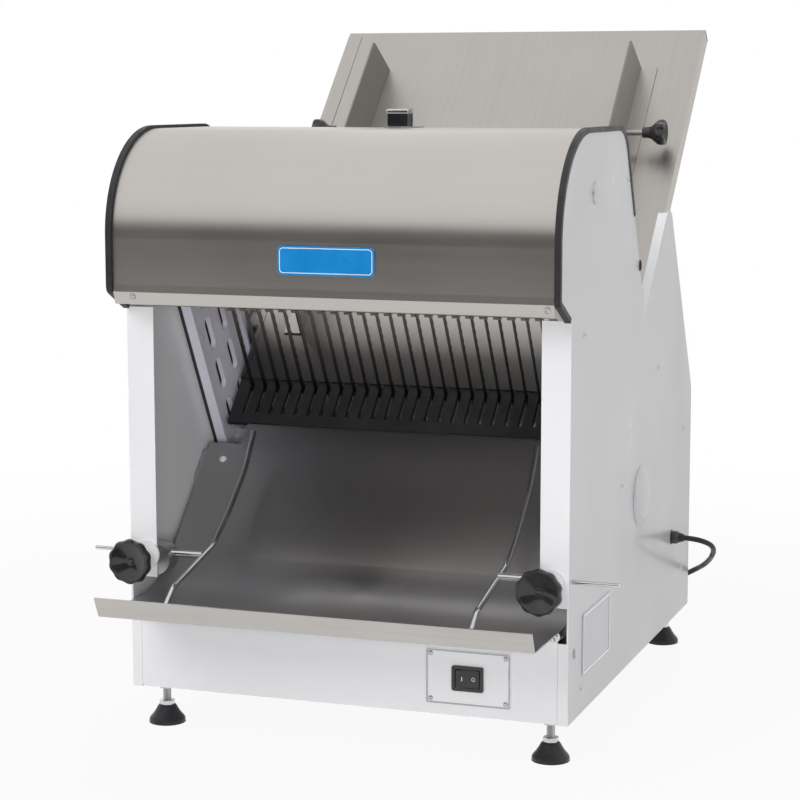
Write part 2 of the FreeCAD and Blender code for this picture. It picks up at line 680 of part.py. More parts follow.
def make_blade_frame(name, sign):
    """One sliding frame: two side plates, two cross bars and the drive bracket."""
    inner, gauge = PLATE, cell("side_plate_gauge")
    near, far = size(2) * sign, (cell("side_plate_width") + 2) * sign
    pieces = []
    low, high = cell("side_plate_bottom"), cell("side_plate_top")
    for side in (-1, 1):
        a, b = (inner, inner + gauge) if side > 0 else (-inner - gauge, -inner)
        pieces.append(blade_box(f"{name}_side_{side + 1}", (low, high), (near, far), (a, b)))
    bar_near = cell("bar_gap") * sign
    bar_far = (cell("bar_gap") + cell("bar_depth")) * sign
    reach = cell("bar_height") / 2
    for label, middle in (("top", cell("top_bar")), ("bottom", cell("bottom_bar"))):
        pieces.append(blade_box(f"{name}_{label}_bar", (middle - reach, middle + reach),
                                (bar_near, bar_far), (-inner, inner)))
    eye = size(rod_eye())
    bar = cell("bottom_bar")
    corners = [(eye - 15, -13), (eye - 15, 13), (eye + 16, 28), (bar, 28), (bar, 14), (eye + 26, 12),
               (eye + 14, -13)]
    points = [blade_point(up, size(forward) * sign) for up, forward in corners]
    start = cell("rod_station") * -sign + cell("rod_gauge") / 2 + 1.2
    pieces.append(prism(f"{name}_bracket", "YZ", points, start, start + 7))
    boss_y, boss_z = blade_point(eye, 0)
    pieces.append(rod(f"{name}_boss", "x", 10, start - 0.8, start + 1, (boss_y, boss_z)))
    body = fuse(f"{name}_weldment", *pieces)
    cutters = []
    across = (float(near) + float(far)) / 2 - float(cell("slot_shift")) * sign
    count = 5
    for index in range(count):
        up = float(low + high) / 2 + (index - (count - 1) / 2) * float(cell("slot_pitch"))
        for side in (-1, 1):
            at = float(inner) - 1 if side > 0 else -float(inner + gauge) - 1
            cutters.append(slot_cutter(up, across, at, at + float(gauge) + 2))
    slots = solid(f"{name}_slots", Part.makeCompound(cutters))
    node(name, cut(f"{name}_cut", body, slots))


def blade_outline(low, high, rear, front):
    """The blade in its own plane: a plain front edge and a toothed rear edge."""
    pitch, depth = float(cell("tooth_pitch")), float(cell("tooth_depth"))
    clear = 20.0
    points = [(low, rear), (low, front), (high, front), (high, rear)]
    up = high - clear
    while up - pitch > low + clear:
        points.append((up, rear))
        points.append((up - pitch / 2, rear + depth))
        up -= pitch
    points.append((up, rear))
    return points


def make_blades(name, sign):
    """Every second blade of the set, its hook plates on the bars and the cap below its upper hook."""
    top, bottom = float(cell("top_bar")), float(cell("bottom_bar"))
    half = float(cell("blade_width")) / 2
    gauge = float(cell("blade_gauge"))
    outline = blade_outline(bottom - 8, top + 8, -half, half)
    corners = [blade_point(up, forward) for up, forward in outline]
    edge = (half * sign, float(cell("bar_gap")) * sign)
    foot = float(cell("hook_bottom"))
    ends = ((top, foot), (bottom, bottom + float(cell("bar_height")) / 2 + 9))
    cap_foot, cap_front = foot - float(cell("blade_cap_height")), half + float(cell("blade_cap_depth"))
    cap = [blade_point(foot, half), blade_point(cap_foot, half), blade_point(cap_foot, cap_front),
           blade_point(foot, cap_front)]
    reach = float(cell("blade_cap_width")) / 2
    blades, hooks = [], []
    stations = blade_stations()
    for x in stations[0 if sign > 0 else 1::2]:
        blades.append(flat_prism(corners, x - gauge / 2, x + gauge / 2))
        for first, last in ends:
            box = [blade_point(first, edge[0]), blade_point(last, edge[0]),
                   blade_point(last, edge[1]), blade_point(first, edge[1])]
            hooks.append(flat_prism(box, x - 2, x + 2))
        hooks.append(flat_prism(cap, x - reach, x + reach))
    node(f"{name}_blades", solid(f"{name}_blade_set", Part.makeCompound(blades)))
    node(f"{name}_blade_hooks", solid(f"{name}_hook_set", Part.makeCompound(hooks)))


def make_slide_guide():
    """Channels on the side panel that the frames' side plates slide in."""
    up = (cell("guide_bottom"), cell("guide_top"))
    gap = cell("slide_gap")
    outer = cell("side_plate_width") + 2
    rib = cell("guide_rib")
    lip = cell("guide_lip")
    inner, face = GUIDE, PLATE
    back = face + cell("side_plate_gauge")
    pieces = [blade_box("guide_back_plate", up, (-outer - gap - rib, outer + gap + rib),
                        (INNER - cell("guide_back"), INNER))]
    ribs = (("front", outer + gap, outer + gap + rib), ("middle", size(-2) + gap, size(2) - gap),
            ("rear", -outer - gap - rib, -outer - gap))
    for label, near, far in ribs:
        start = face if label == "middle" else inner
        pieces.append(blade_box(f"guide_{label}_rib", up, (near, far), (start, INNER - 1)))
        near_lip = near if label == "rear" else near - lip
        far_lip = far if label == "front" else far + lip
        pieces.append(blade_box(f"guide_{label}_outer_lip", up, (near_lip, far_lip),
                                (back + gap, back + gap + 4)))
        if label != "middle":
            pieces.append(blade_box(f"guide_{label}_inner_lip", up, (near_lip, far_lip), (inner, face - gap)))
    right = fuse("right_guide_channels", *pieces)
    node("right_slide_guide", right)
    node("left_slide_guide", mirrored("left_guide_channels", right))


def make_crank():
    reach, throw = cell("crank_reach"), cell("stroke") / 2
    cy, cz = blade_point(reach, 0)
    station, gauge, web = cell("rod_station"), cell("rod_gauge"), cell("web_gauge")
    half = gauge / 2 + 1
    journal, pin = cell("shaft_radius"), cell("pin_radius")
    left_end, right_end = -cell("bearing_station") - 20, cell("pulley_station") + 15
    pieces = [rod("crank_left", "x", journal, left_end, -station - half - web, (cy, cz)),
              rod("crank_middle", "x", journal, -station + half + web, station - half - web, (cy, cz)),
              rod("crank_right", "x", journal, station + half + web, right_end, (cy, cz))]
    for sign in (-1, 1):
        at = station * -sign
        py, pz = blade_point(reach, throw * sign)
        pieces.append(rod(f"crank_pin_{sign + 1}", "x", pin, at - half - 1, at + half + 1, (py, pz)))
        back, front = size(-16) * sign, (throw + 13) * sign
        for label, start in (("a", at - half - web), ("b", at + half)):
            pieces.append(blade_box(f"crank_web_{sign + 1}{label}", (reach - 13, reach + 13),
                                    (back, front), (start, start + web)))
    node("crankshaft", fuse("crankshaft_set", *pieces))
    blocks = []
    top = BOTTOM + SKIN + 0.3 + cell("floor_gauge")
    width = cell("bearing_width") / 2
    reach_out = journal * 2.6
    for side in (-1, 1):
        at = cell("bearing_station") * side
        stand = block(f"bearing_stand_{side + 1}", (at - width, cy - reach_out, top),
                      (at + width, cy + reach_out, cz))
        cap = rod(f"bearing_cap_{side + 1}", "x", reach_out, at - width, at + width, (cy, cz))
        bore = rod(f"bearing_bore_{side + 1}", "x", journal + cell("running"), at - width - 1,
                   at + width + 1, (cy, cz))
        blocks.append(cut(f"bearing_block_{side + 1}", fuse(f"bearing_{side + 1}", stand, cap), bore))
    node("bearing_blocks", fuse("bearing_block_set", *blocks))


def make_connecting_rod(name, sign):
    """A rod from its crank pin to the eye beside the frame's bracket."""
    big_up, big_out = float(cell("crank_reach")), float(cell("stroke")) / 2 * sign
    small_up = rod_eye()
    big = blade_point(big_up, big_out)
    small = blade_point(small_up, 0)
    at = cell("rod_station") * -sign
    half = cell("rod_gauge") / 2
    width = float(cell("rod_width")) / 2
    length = float(cell("rod_length"))
    along = ((small_up - big_up) / length, -big_out / length)
    corners = []
    for up, out, side in ((big_up, big_out, 1), (small_up, 0, 1), (small_up, 0, -1), (big_up, big_out, -1)):
        corners.append(blade_point(up - along[1] * width * side, out + along[0] * width * side))
    pieces = [rod(f"{name}_big_eye", "x", cell("eye_radius"), at - half, at + half, big),
              rod(f"{name}_small_eye", "x", cell("eye_radius") - 1, at - half, at + half, small),
              prism(f"{name}_shank", "YZ", corners, at - half, at + half)]
    bores = [rod(f"{name}_big_bore", "x", cell("pin_radius") + cell("running"), at - half - 1,
                 at + half + 1, big),
             rod(f"{name}_small_bore", "x", cell("little_pin"), at - half - 1, at + half + 1, small)]
    node(name, cut(f"{name}_cut", fuse(f"{name}_forging", *pieces), *bores))


def turned(outline, y, z):
    """A solid turned about an axis along X; the outline holds (x, radius) pairs."""
    points = [V(float(x), float(y) + float(r), float(z)) for x, r in outline]
    face = Part.Face(Part.makePolygon(points + points[:1]))
    return face.revolve(V(0, float(y), float(z)), V(1, 0, 0), 360)


def make_pulley(name, radius, bore, y, z):
    half = float(cell("pulley_width")) / 2
    groove = float(cell("belt_width")) / 2 + 0.6
    floor = float(radius - cell("belt_height")) - 0.5
    at = float(cell("pulley_station"))
    rim = float(radius) + 0.8
    outline = [(at - half, bore), (at - half, rim), (at - groove, rim), (at - groove, floor),
               (at + groove, floor), (at + groove, rim), (at + half, rim), (at + half, bore)]
    shape = turned(outline, y, z)
    if float(radius) > 40:
        for index in range(5):
            angle = math.radians(72 * index)
            hole = Part.makeCylinder(9, half * 4, V(at - half * 2, float(y) + 32 * math.cos(angle),
                                                    float(z) + 32 * math.sin(angle)), V(1, 0, 0))
            shape = shape.cut(hole)
    node(name, solid(f"{name}_turned", shape))


def belt_loop(first, first_radius, second, second_radius, start):
    """The face inside a belt round two pulleys whose centres are (y, z) pairs."""
    dy, dz = second[0] - first[0], second[1] - first[1]
    span = math.hypot(dy, dz)
    heading = math.atan2(dz, dy)
    lean = math.acos((first_radius - second_radius) / span)

    def rim(centre, radius, angle):
        return V(start, centre[0] + radius * math.cos(angle), centre[1] + radius * math.sin(angle))

    up, down = heading + lean, heading - lean
    edges = [
        Part.LineSegment(rim(first, first_radius, up), rim(second, second_radius, up)).toShape(),
        Part.Arc(rim(second, second_radius, up), rim(second, second_radius, heading),
                 rim(second, second_radius, down)).toShape(),
        Part.LineSegment(rim(second, second_radius, down), rim(first, first_radius, down)).toShape(),
        Part.Arc(rim(first, first_radius, down), rim(first, first_radius, heading + math.pi),
                 rim(first, first_radius, up)).toShape(),
    ]
    return Part.Face(Part.Wire(edges))


def make_drive():
    crank = tuple(map(float, blade_point(cell("crank_reach"), 0)))
    motor = (float(cell("motor_y")), float(cell("motor_z")))
    big, little = float(cell("crank_pulley_radius")), float(cell("motor_pulley_radius"))
    make_pulley("crank_pulley", cell("crank_pulley_radius"), float(cell("shaft_radius")), *crank)
    make_pulley("motor_pulley", cell("motor_pulley_radius"), float(cell("motor_shaft")), *motor)
    height, width = float(cell("belt_height")), float(cell("belt_width"))
    start = float(cell("pulley_station")) - width / 2
    outer = belt_loop(crank, big, motor, little, start).extrude(V(width, 0, 0))
    inner = belt_loop(crank, big - height, motor, little - height, start).extrude(V(width, 0, 0))
    node("drive_belt", solid("drive_belt_loop", outer.cut(inner)))
    y, z = cell("motor_y"), cell("motor_z")
    radius, length = cell("motor_radius"), cell("motor_length")
    end = cell("pulley_station") - 22
    case = rod("motor_case", "x", radius, end - length, end - 16, (y, z))
    bell = cone("motor_bell", "x", radius, radius * 0.7, end - 16, end, (y, z))
    box = block("motor_terminal_box", (end - length / 2 - 35, y - 30, z + radius - 12),
                (end - length / 2 + 35, y + 30, z + radius + 18))
    bore = rod("motor_bore", "x", cell("motor_shaft") + cell("running"), end - 50, end + 1, (y, z))
    node("motor", cut("motor_cut", fuse("motor_housing", case, bell, box), bore))
    node("motor_shaft", rod("motor_shaft_bar", "x", cell("motor_shaft"), end - 48,
                            cell("pulley_station") + 11, (y, z)))
    top = BOTTOM + SKIN + 0.3 + cell("floor_gauge")
    low = block("motor_plate", (end - length + 20, y - 62, top), (end - 26, y + 62, top + 5))
    saddle = block("motor_saddle", (end - length + 30, y - 34, top + 5),
                   (end - 36, y + 34, z - radius * 0.7))
    room = rod("motor_room", "x", radius, end - length, end, (y, z))
    node("motor_mount", cut("motor_mount_cut", fuse("motor_cradle", low, saddle), room))


def knob_shape(radius, depth, lobes, bore, bore_depth):
    """A lobed clamping knob standing on z = 0, its dished face up."""
    outline = [(bore, 0), (radius * 0.42, 0), (radius * 0.46, depth * 0.3), (radius * 0.96, depth * 0.72),
               (radius, depth * 0.8), (radius, depth * 0.93), (radius * 0.93, depth),
               (radius * 0.8, depth * 0.98), (radius * 0.3, depth * 0.8), (0, depth * 0.78),
               (0, bore_depth), (bore, bore_depth)]
    points = [V(r, 0, z) for r, z in outline]
    shape = Part.Face(Part.makePolygon(points + points[:1])).revolve(V(), V(0, 0, 1), 360)
    scallop = radius * 1.6 / lobes
    for index in range(lobes):
        angle = 2 * math.pi * index / lobes
        out = radius + scallop * 0.62
        at = V(math.cos(angle) * out, math.sin(angle) * out, depth * 0.35)
        shape = shape.cut(Part.makeCylinder(scallop, depth, at))
    return shape


def make_front_clamps():
    x, z = float(CLAMP), float(cell("rod_z"))
    front, depth = float(cell("knob_front")), float(cell("knob_depth"))
    stud = float(cell("stud_radius"))
    tip = float(cell("rod_y") - cell("rod_radius")) - 0.3
    knob = knob_shape(float(cell("knob_radius")), depth, 10, stud, depth * 0.5)
    knob.rotate(V(), V(1, 0, 0), 90)
    knob.translate(V(x, front + depth, z))
    back = front + depth
    bar = Part.makeCylinder(stud, tip - back + depth * 0.5, V(x, back - depth * 0.5, z), V(0, 1, 0))
    collar = Part.makeCylinder(stud + 3, 6, V(x, back, z), V(0, 1, 0)).cut(
        Part.makeCylinder(stud, 6, V(x, back, z), V(0, 1, 0)))
    shape = Part.makeCompound([knob, bar.fuse(collar).removeSplitter()])
    node("right_clamp_knob", solid("right_knob", shape))
    node("left_clamp_knob", mirrored("left_knob", nodes["right_clamp_knob"]))
    bosses, washers = [], []
    for side in (-1, 1):
        boss = rod(f"clamp_boss_{side + 1}", "y", cell("boss_radius"), SKIN, SKIN + cell("boss_depth"),
                   ((HALF - cell("boss_inset")) * side, cell("boss_z")))
        bore = rod(f"clamp_bore_{side + 1}", "x", cell("rod_radius") + cell("running"),
                   CLAMP * side - 45, CLAMP * side + 45, (cell("rod_y"), cell("rod_z")))
        stud_hole = rod(f"clamp_stud_hole_{side + 1}", "y", cell("stud_radius") + cell("loose"),
                        0, cell("rod_y"), (CLAMP * side, cell("rod_z")))
        bosses.append(cut(f"clamp_boss_cut_{side + 1}", boss, bore, stud_hole))
        disc = rod(f"washer_disc_{side + 1}", "y", cell("washer_radius"), -cell("washer_gauge"), 0,
                   (CLAMP * side, cell("rod_z")))
        hole = rod(f"washer_hole_{side + 1}", "y", cell("stud_radius") + cell("loose"),
                   -cell("washer_gauge") - 1, 1, (CLAMP * side, cell("rod_z")))
        washers.append(cut(f"washer_cut_{side + 1}", disc, hole))
    node("clamp_bosses", fuse("clamp_boss_set", *bosses))
    node("clamp_washers", fuse("clamp_washer_set", *washers))


WIRE_BENDS = [(-113, -46, 0), (-81, -21, 14), (31, 6, 40), (77, 38, 200), (127, 81, 100), (156, 123, 0)]


def make_wire_guide():
    """A bent wire over the tray and its cross rod; bends are (y, z, radius) from the rod's middle."""
    x = float(cell("wire_station"))
    radius = float(cell("wire_radius"))
    y, z = float(cell("rod_y")), float(cell("rod_z"))
    path = [V(x, y + along, z + up) for along, up, _ in WIRE_BENDS]
    wire = tube(path, [bend for _, _, bend in WIRE_BENDS], radius)
    step = float(INNER) - 1
    end = float(HALF + cell("rod_tail"))
    bar = Part.makeCylinder(float(cell("rod_radius")), step - x, V(x, y, z), V(1, 0, 0))
    tail = Part.makeCylinder(float(cell("tail_radius")), end - step + 1, V(step - 1, y, z), V(1, 0, 0))
    shape = wire.fuse([bar, tail]).removeSplitter()
    node("right_wire_guide", solid("right_wire", shape))
    node("left_wire_guide", mirrored("left_wire", nodes["right_wire_guide"]))


def make_loaf_guide():
    """The side guide that lies on the infeed bed, with its stud and knob."""
    x = cell("loaf_station")
    start, end = cell("loaf_start"), cell("loaf_end")
    height, gauge, slant = cell("loaf_height"), cell("loaf_gauge"), cell("loaf_slant")
    lift = size(0.3)
    wall = prism("right_guide_wall", "YZ",
                 [bed_point(start, lift), bed_point(end, lift), bed_point(end - slant, height),
                  bed_point(start + slant, height)], x, x + gauge, ((2, 6), (3, 6)))
    foot = prism("right_guide_foot", "YZ",
                 [bed_point(start, lift), bed_point(end, lift), bed_point(end, lift + gauge),
                  bed_point(start, lift + gauge)], x, x + cell("loaf_foot"))
    at = (cell("guide_knob_y"), cell("guide_knob_z"))
    stud = rod("right_guide_stud", "x", cell("stud_radius"), x + gauge - 1, cell("guide_knob_start") + 8, at)
    nut = rod("right_guide_nut", "x", cell("stud_radius") * 2, x + gauge, x + gauge + cell("guide_nut"), at)
    right = fuse("right_loaf_guide_sheet", wall, foot, stud, nut)
    node("right_loaf_guide", right)
    node("left_loaf_guide", mirrored("left_loaf_guide_sheet", right))
    radius, length = float(cell("guide_knob_radius")), float(cell("guide_knob_length"))
    shape = knob_shape(radius, length, 7, float(cell("stud_radius") + cell("running")), 9)
    shape.rotate(V(), V(0, 1, 0), 90)
    shape.translate(V(float(cell("guide_knob_start")), *map(float, at)))
    node("right_guide_knob", solid("right_bed_knob", shape))
    node("left_guide_knob", mirrored("left_bed_knob", nodes["right_guide_knob"]))


def upright(name, x, z, half_w, half_h, back, front, radius):
    """A plate facing the front, with rounded corners."""
    corners = [(x - half_w, z - half_h), (x + half_w, z - half_h), (x + half_w, z + half_h),
               (x - half_w, z + half_h)]
    return prism(name, "XZ", corners, back, front, [(index, radius) for index in range(4)])


def make_switch():
    x, z = cell("switch_x"), cell("switch_z")
    gauge = cell("switch_plate_gauge")
    wall = cell("switch_wall")
    room_w, room_h = cell("rocker_width") / 2 + 0.6, cell("rocker_height") / 2 + 0.5
    body_w, body_h = room_w + wall, room_h + wall
    plate = upright("switch_face", x, z, cell("switch_plate_width") / 2, cell("switch_plate_height") / 2,
                    0, -gauge, 2)
    hole = block("switch_face_hole", (x - body_w, -5, z - body_h), (x + body_w, 1, z + body_h))
    node("switch_plate", cut("switch_plate_cut", plate, hole))
    proud = cell("bezel_proud")
    bezel = upright("switch_bezel", x, z, cell("bezel_width") / 2, cell("bezel_height") / 2,
                    -gauge, -gauge - proud, 2.5)
    case = block("switch_case", (x - body_w, -gauge, z - body_h),
                 (x + body_w, cell("switch_depth"), z + body_h))
    room = block("switch_room", (x - room_w, -gauge - proud - 1, z - room_h), (x + room_w, 10, z + room_h))
    bore = rod("switch_bore", "z", cell("rocker_pin") + cell("running"), z - body_h - 1, z + body_h + 1,
               (x, 0))
    node("switch_housing", cut("switch_housing_cut", fuse("switch_shell", bezel, case), room, bore))
    w, h = float(cell("rocker_width")) / 2 - 0.8, float(cell("rocker_height")) / 2
    face = -float(gauge + proud) - 0.6
    points = [V(-w, face - 1.6, -h), V(0, face + 1.4, -h), V(w, face - 1.6, -h), V(w - 2.5, 4.5, -h),
              V(0, 7, -h), V(2.5 - w, 4.5, -h)]
    shape = Part.Face(Part.makePolygon(points + points[:1])).extrude(V(0, 0, 2 * h))
    pin_end = float(body_h) - 0.1
    pin = Part.makeCylinder(float(cell("rocker_pin")), 2 * pin_end, V(0, 0, -pin_end))
    shape = shape.fuse(pin)
    shape.rotate(V(), V(0, 0, 1), float(cell("rocker_tilt")))
    shape.translate(V(float(x), 0, float(z)))
    node("rocker", solid("rocker_key", shape))


def make_feet():
    radius, height, stud = float(cell("foot_radius")), float(cell("foot_height")), float(cell("foot_stud"))
    top = float(cell("foot_thread_top"))
    outline = [(0, 0), (radius, 0), (radius, height * 0.16), (radius * 0.86, height * 0.36),
               (radius * 0.5, height * 0.76), (radius * 0.42, height), (0, height)]
    nuts = []
    pan = BOTTOM + SKIN + 0.3
    pad_half, nut_height = cell("foot_pad"), cell("foot_nut")
    for side, hand in ((-1, "left"), (1, "right")):
        for y, end in ((cell("foot_front"), "front"), (FOOT_REAR, "rear")):
            name = f"{end}_{hand}"
            x = FOOT * side
            base = V(float(x), float(y), 0)
            points = [base + V(r, 0, z) for r, z in outline]
            bell = Part.Face(Part.makePolygon(points + points[:1])).revolve(base, V(0, 0, 1), 360)
            screw = Part.makeCylinder(stud, top - height, base + V(0, 0, height))
            node(f"{name}_foot", solid(f"{name}_foot_set", Part.makeCompound([bell, screw])))
            hexagon = doc.addObject("Part::Prism", f"{name}_nut")
            hexagon.Polygon = 6
            bind(hexagon, "Circumradius", cell("foot_stud") * 2)
            bind(hexagon, "Height", nut_height)
            place(hexagon, x, y, pan - nut_height - 2)
            pad = block(f"{name}_foot_pad", (x - pad_half, y - pad_half, pan - 2),
                        (x + pad_half, y + pad_half, pan))
            bore = rod(f"{name}_nut_bore", "z", cell("foot_stud") + cell("running"),
                       pan - nut_height - 4, pan + 1, (x, y))
            nuts.append(cut(f"{name}_nut_cut", fuse(f"{name}_nut_set", hexagon, pad), bore))
    node("foot_nuts", fuse("foot_nut_set", *nuts))


def make_plates():
    front = cell("hood_front") + 1
    node("name_plate", upright("name_plate_body", size(0), cell("badge_z"), cell("badge_width") / 2,
                               cell("badge_height") / 2, front, front - cell("badge_gauge"), 6))
    y, z = cell("rating_y"), cell("rating_z")
    half_l, half_h = cell("rating_length") / 2, cell("rating_height") / 2
    node("rating_plate", prism("rating_plate_body", "YZ",
                               [(y - half_l, z - half_h), (y + half_l, z - half_h), (y + half_l, z + half_h),
                                (y - half_l, z + half_h)], HALF, HALF + 0.8,
                               ((0, 3), (1, 3), (2, 3), (3, 3))))
    top = cell("hood_top") - 1
    y, depth = cell("latch_y"), cell("latch_depth") / 2
    half, height = cell("latch_width") / 2, cell("latch_height")
    strap = fuse("latch_strap_bend",
                 block("latch_base", (-half - 2, y - depth - 2, top), (half + 14, y + depth + 2, top + 1.5)),
                 block("latch_cap", (-half, y - depth, top + height), (half, y + depth, top + height + 2)),
                 block("latch_back", (-half, y + depth, top), (half, y + depth + 2, top + height + 2)))
    node("latch_strap", strap)
    node("hood_latch", prism("latch_grip", "XZ",
                             [(-half + 1, top + 1.5), (half - 1, top + 1.5), (half - 1, top + height),
                              (-half + 1, top + height)], y + depth, y - depth, ((0, 2), (1, 2))))


def make_fixings():
    screws = []
    x, z = cell("switch_x"), cell("switch_z")
    half_w, half_h = cell("switch_plate_width") / 2 - 6, cell("switch_plate_height") / 2 - 6
    front = -cell("switch_plate_gauge")
    for side in (-1, 1):
        for up in (-1, 1):
            screws.append(rod(f"switch_screw_{side + 1}{up + 1}", "y", 3, front - 1.6, front,
                              (x + half_w * side, z + half_h * up)))
    low, high = cell("body_bottom") + 30, cell("shoulder_height")
    rear = DEPTH - 45
    seats = ((cell("head_rear") + 16, cell("hood_top") - 62), (430, high + 51), (240, high - 69),
             (54, cell("hood_lip_bottom") - 21), (54, low), (rear, low + 30), (rear, high - 49))
    for side in (-1, 1):
        start, end = (HALF, HALF + 1.5) if side > 0 else (-HALF - 1.5, -HALF)
        for index, seat in enumerate(seats):
            screws.append(rod(f"panel_screw_{side + 1}{index}", "x", 3.5, start, end, seat))
        screws.append(cone(f"tray_screw_{side + 1}", "y", 3.5, 5, -9, -5,
                           ((TRAY - 13) * side, cell("front_panel_top") + 5)))
    node("case_screws", fuse("case_screw_set", *screws))
    plugs = []
    covers = ((cell("notch_rear") - 9, BOTTOM + 200, 38), (98, cell("hood_top") - 70, 13))
    for side in (-1, 1):
        start, end = (HALF, HALF + 2) if side > 0 else (-HALF - 2, -HALF)
        for index, (y, z, radius) in enumerate(covers):
            first, last = (radius, radius - 4) if side > 0 else (radius - 4, radius)
            plugs.append(cone(f"plug_{side + 1}{index}", "x", first, last, start, end, (y, z)))
    node("panel_plugs", fuse("panel_plug_set", *plugs))


CORD_ROUTE = [(18, -110, 163), (28.6, -109.6, 162.3), (41, -104.5, 159), (50.1, -93.1, 152.2),
              (50.7, -78.1, 142.1), (44, -58.5, 130), (36, -36, 119.5), (24, -10, 107), (8, 13.5, 94.9),
              (-16.3, 26, 80), (-39, 34, 53), (-58, 33, 30), (-74, 26.4, 12), (-93, 15, 4.8),
              (-115, 10, 4.2)]


def make_gland():
    y, z = GLAND_Y, cell("gland_z")
    nut, length = cell("gland_nut"), cell("gland_length")
    pieces = [rod("gland_nut", "x", cell("gland_radius"), HALF, HALF + nut, (y, z)),
              cone("gland_taper", "x", cell("gland_radius") - 1.5, cell("cord_radius") + 1.5,
                   HALF + nut, HALF + length, (y, z)),
              rod("gland_tail", "x", cell("gland_radius") - 2.3, INNER - 8, HALF, (y, z))]
    node("cord_gland", fuse("gland_set", *pieces))


def make_lead():
    """The mains lead's route, given from the body's right rear corner, then its coil and its plug."""
    points = [V(float(HALF) + x, float(DEPTH) + y, z) for x, y, z in CORD_ROUTE]
    radii = [0]
    for before, point, after in zip(points, points[1:], points[2:]):
        back, ahead = before - point, after - point
        turn = math.pi - back.getAngle(ahead)
        radii.append(0.45 * min(back.Length, ahead.Length) / math.tan(turn / 2))
    radii.append(0)
    print("cord radii", [round(r, 1) for r in radii])
    radius = float(cell("cord_radius"))
    cord = tube(points, radii, radius)
    run = Part.Wire(rounded_edges(points, radii, False)).Length
    print("cord volume ratio", cord.Volume / (math.pi * radius ** 2 * run), "length", run)
    node("mains_cord", solid("mains_cord_tube", cord))
    band = float(cell("coil_band")) / 2
    middle = float(cell("coil_middle"))
    height = float(cell("coil_height"))
    centre = V(float(HALF - cell("coil_inset")), float(DEPTH + cell("coil_behind")), 0)
    ring = Part.makeCylinder(middle + band, height, centre).cut(
        Part.makeCylinder(middle - band, height, centre))
    ring = ring.cut(Part.makeCylinder(radius + 0.2, 60, points[-1] - V(6, 0, 0), V(1, 0, 0)))
    side, level = centre.x - middle - band, centre.y - middle + band
    tail = Part.makeCylinder(radius, float(cell("plug_tail")),
                             V(side - 3, level, float(cell("plug_height")) / 2), V(1, 0, 0))
    node("cord_coil", solid("cord_coil_ring", ring.cut(tail)))
    make_plug(side - float(cell("plug_reach")), level, radius, tail)


def make_plug(end, y, radius, tail):
    """A two-pin plug lying beside the coil, its sleeve towards the turns."""
    z = float(cell("plug_height")) / 2
    half_w, grip = float(cell("plug_width")) / 2, float(cell("plug_grip")) / 2
    flange, length = float(cell("plug_flange")), float(cell("plug_length"))
    sleeve, pin = float(cell("plug_sleeve")), float(cell("pin_length"))
    face = end - length
    rise = 2
    parts = [Part.makeBox(flange, half_w * 2, z * 2, V(face, y - half_w, 0)),
             Part.makeBox(length - flange + 1, grip * 2, 2 * (z - rise),
                          V(face + flange - 1, y - grip, rise)),
             Part.makeCone(radius + 2.5, radius + 1, sleeve, V(end - 1, y, z), V(1, 0, 0)), tail]
    for side in (-1, 1):
        parts.append(Part.makeCylinder(float(cell("plug_pin_radius")), pin + 1,
                                       V(face - pin, y + side * float(cell("pin_spread")), z), V(1, 0, 0)))
    node("cord_plug", solid("cord_plug_body", parts[0].multiFuse(parts[1:]).removeSplitter()))


make_side_panel()
make_base_pan()
make_front_panel()
make_rear_cover()
make_hood()
make_trims()
make_tray()
make_tray_brackets()
make_bed()
make_comb()
for label, hand in (("front", 1), ("rear", -1)):
    make_blade_frame(f"{label}_blade_frame", hand)
    make_blades(label, hand)
    make_connecting_rod(f"{label}_connecting_rod", hand)
make_slide_guide()
make_crank()
make_drive()
make_front_clamps()
make_wire_guide()
make_loaf_guide()
make_switch()
make_feet()
make_plates()
make_fixings()
make_gland()
make_lead()

doc.recompute()
for item in doc.Objects:
    if "Invalid" in item.State or "Error" in item.State:
        raise RuntimeError(f"{item.Label} failed to build: {item.State}")
for name, item in nodes.items():
    if item.Shape.isNull() or not item.Shape.isValid():
        raise RuntimeError(f"{name} has no valid shape")
LEAD = ("cord_gland", "mains_cord", "cord_coil", "cord_plug")
boxes = [item.Shape.optimalBoundingBox(False) for name, item in nodes.items() if name not in LEAD]
middle = (min(box.YMin for box in boxes) + max(box.YMax for box in boxes)) / 2
print(f"origin at y {middle:.4f}")
for name, item in nodes.items():
    shape = item.Shape.copy()
    shape.translate(V(0, -middle, 0))
    shape.exportStep(f"parts/{name}.step")
    print(f"{name:22s} {len(shape.Solids):3d} solids {shape.Volume / 1000:10.2f} cm3")
print(len(nodes), "nodes")
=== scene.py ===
"""Looks of the bench bread slicer: camera, mains lead, finishes and small details.

Lengths are metres in the row frame, unless a comment says millimetres. The places meant for at() are
millimetres, as the machine is drawn: X from its middle, Y back from its front plane, Z up.
"""
import json
import math

import bmesh
import bpy
from mathutils import Euler, Matrix, Vector


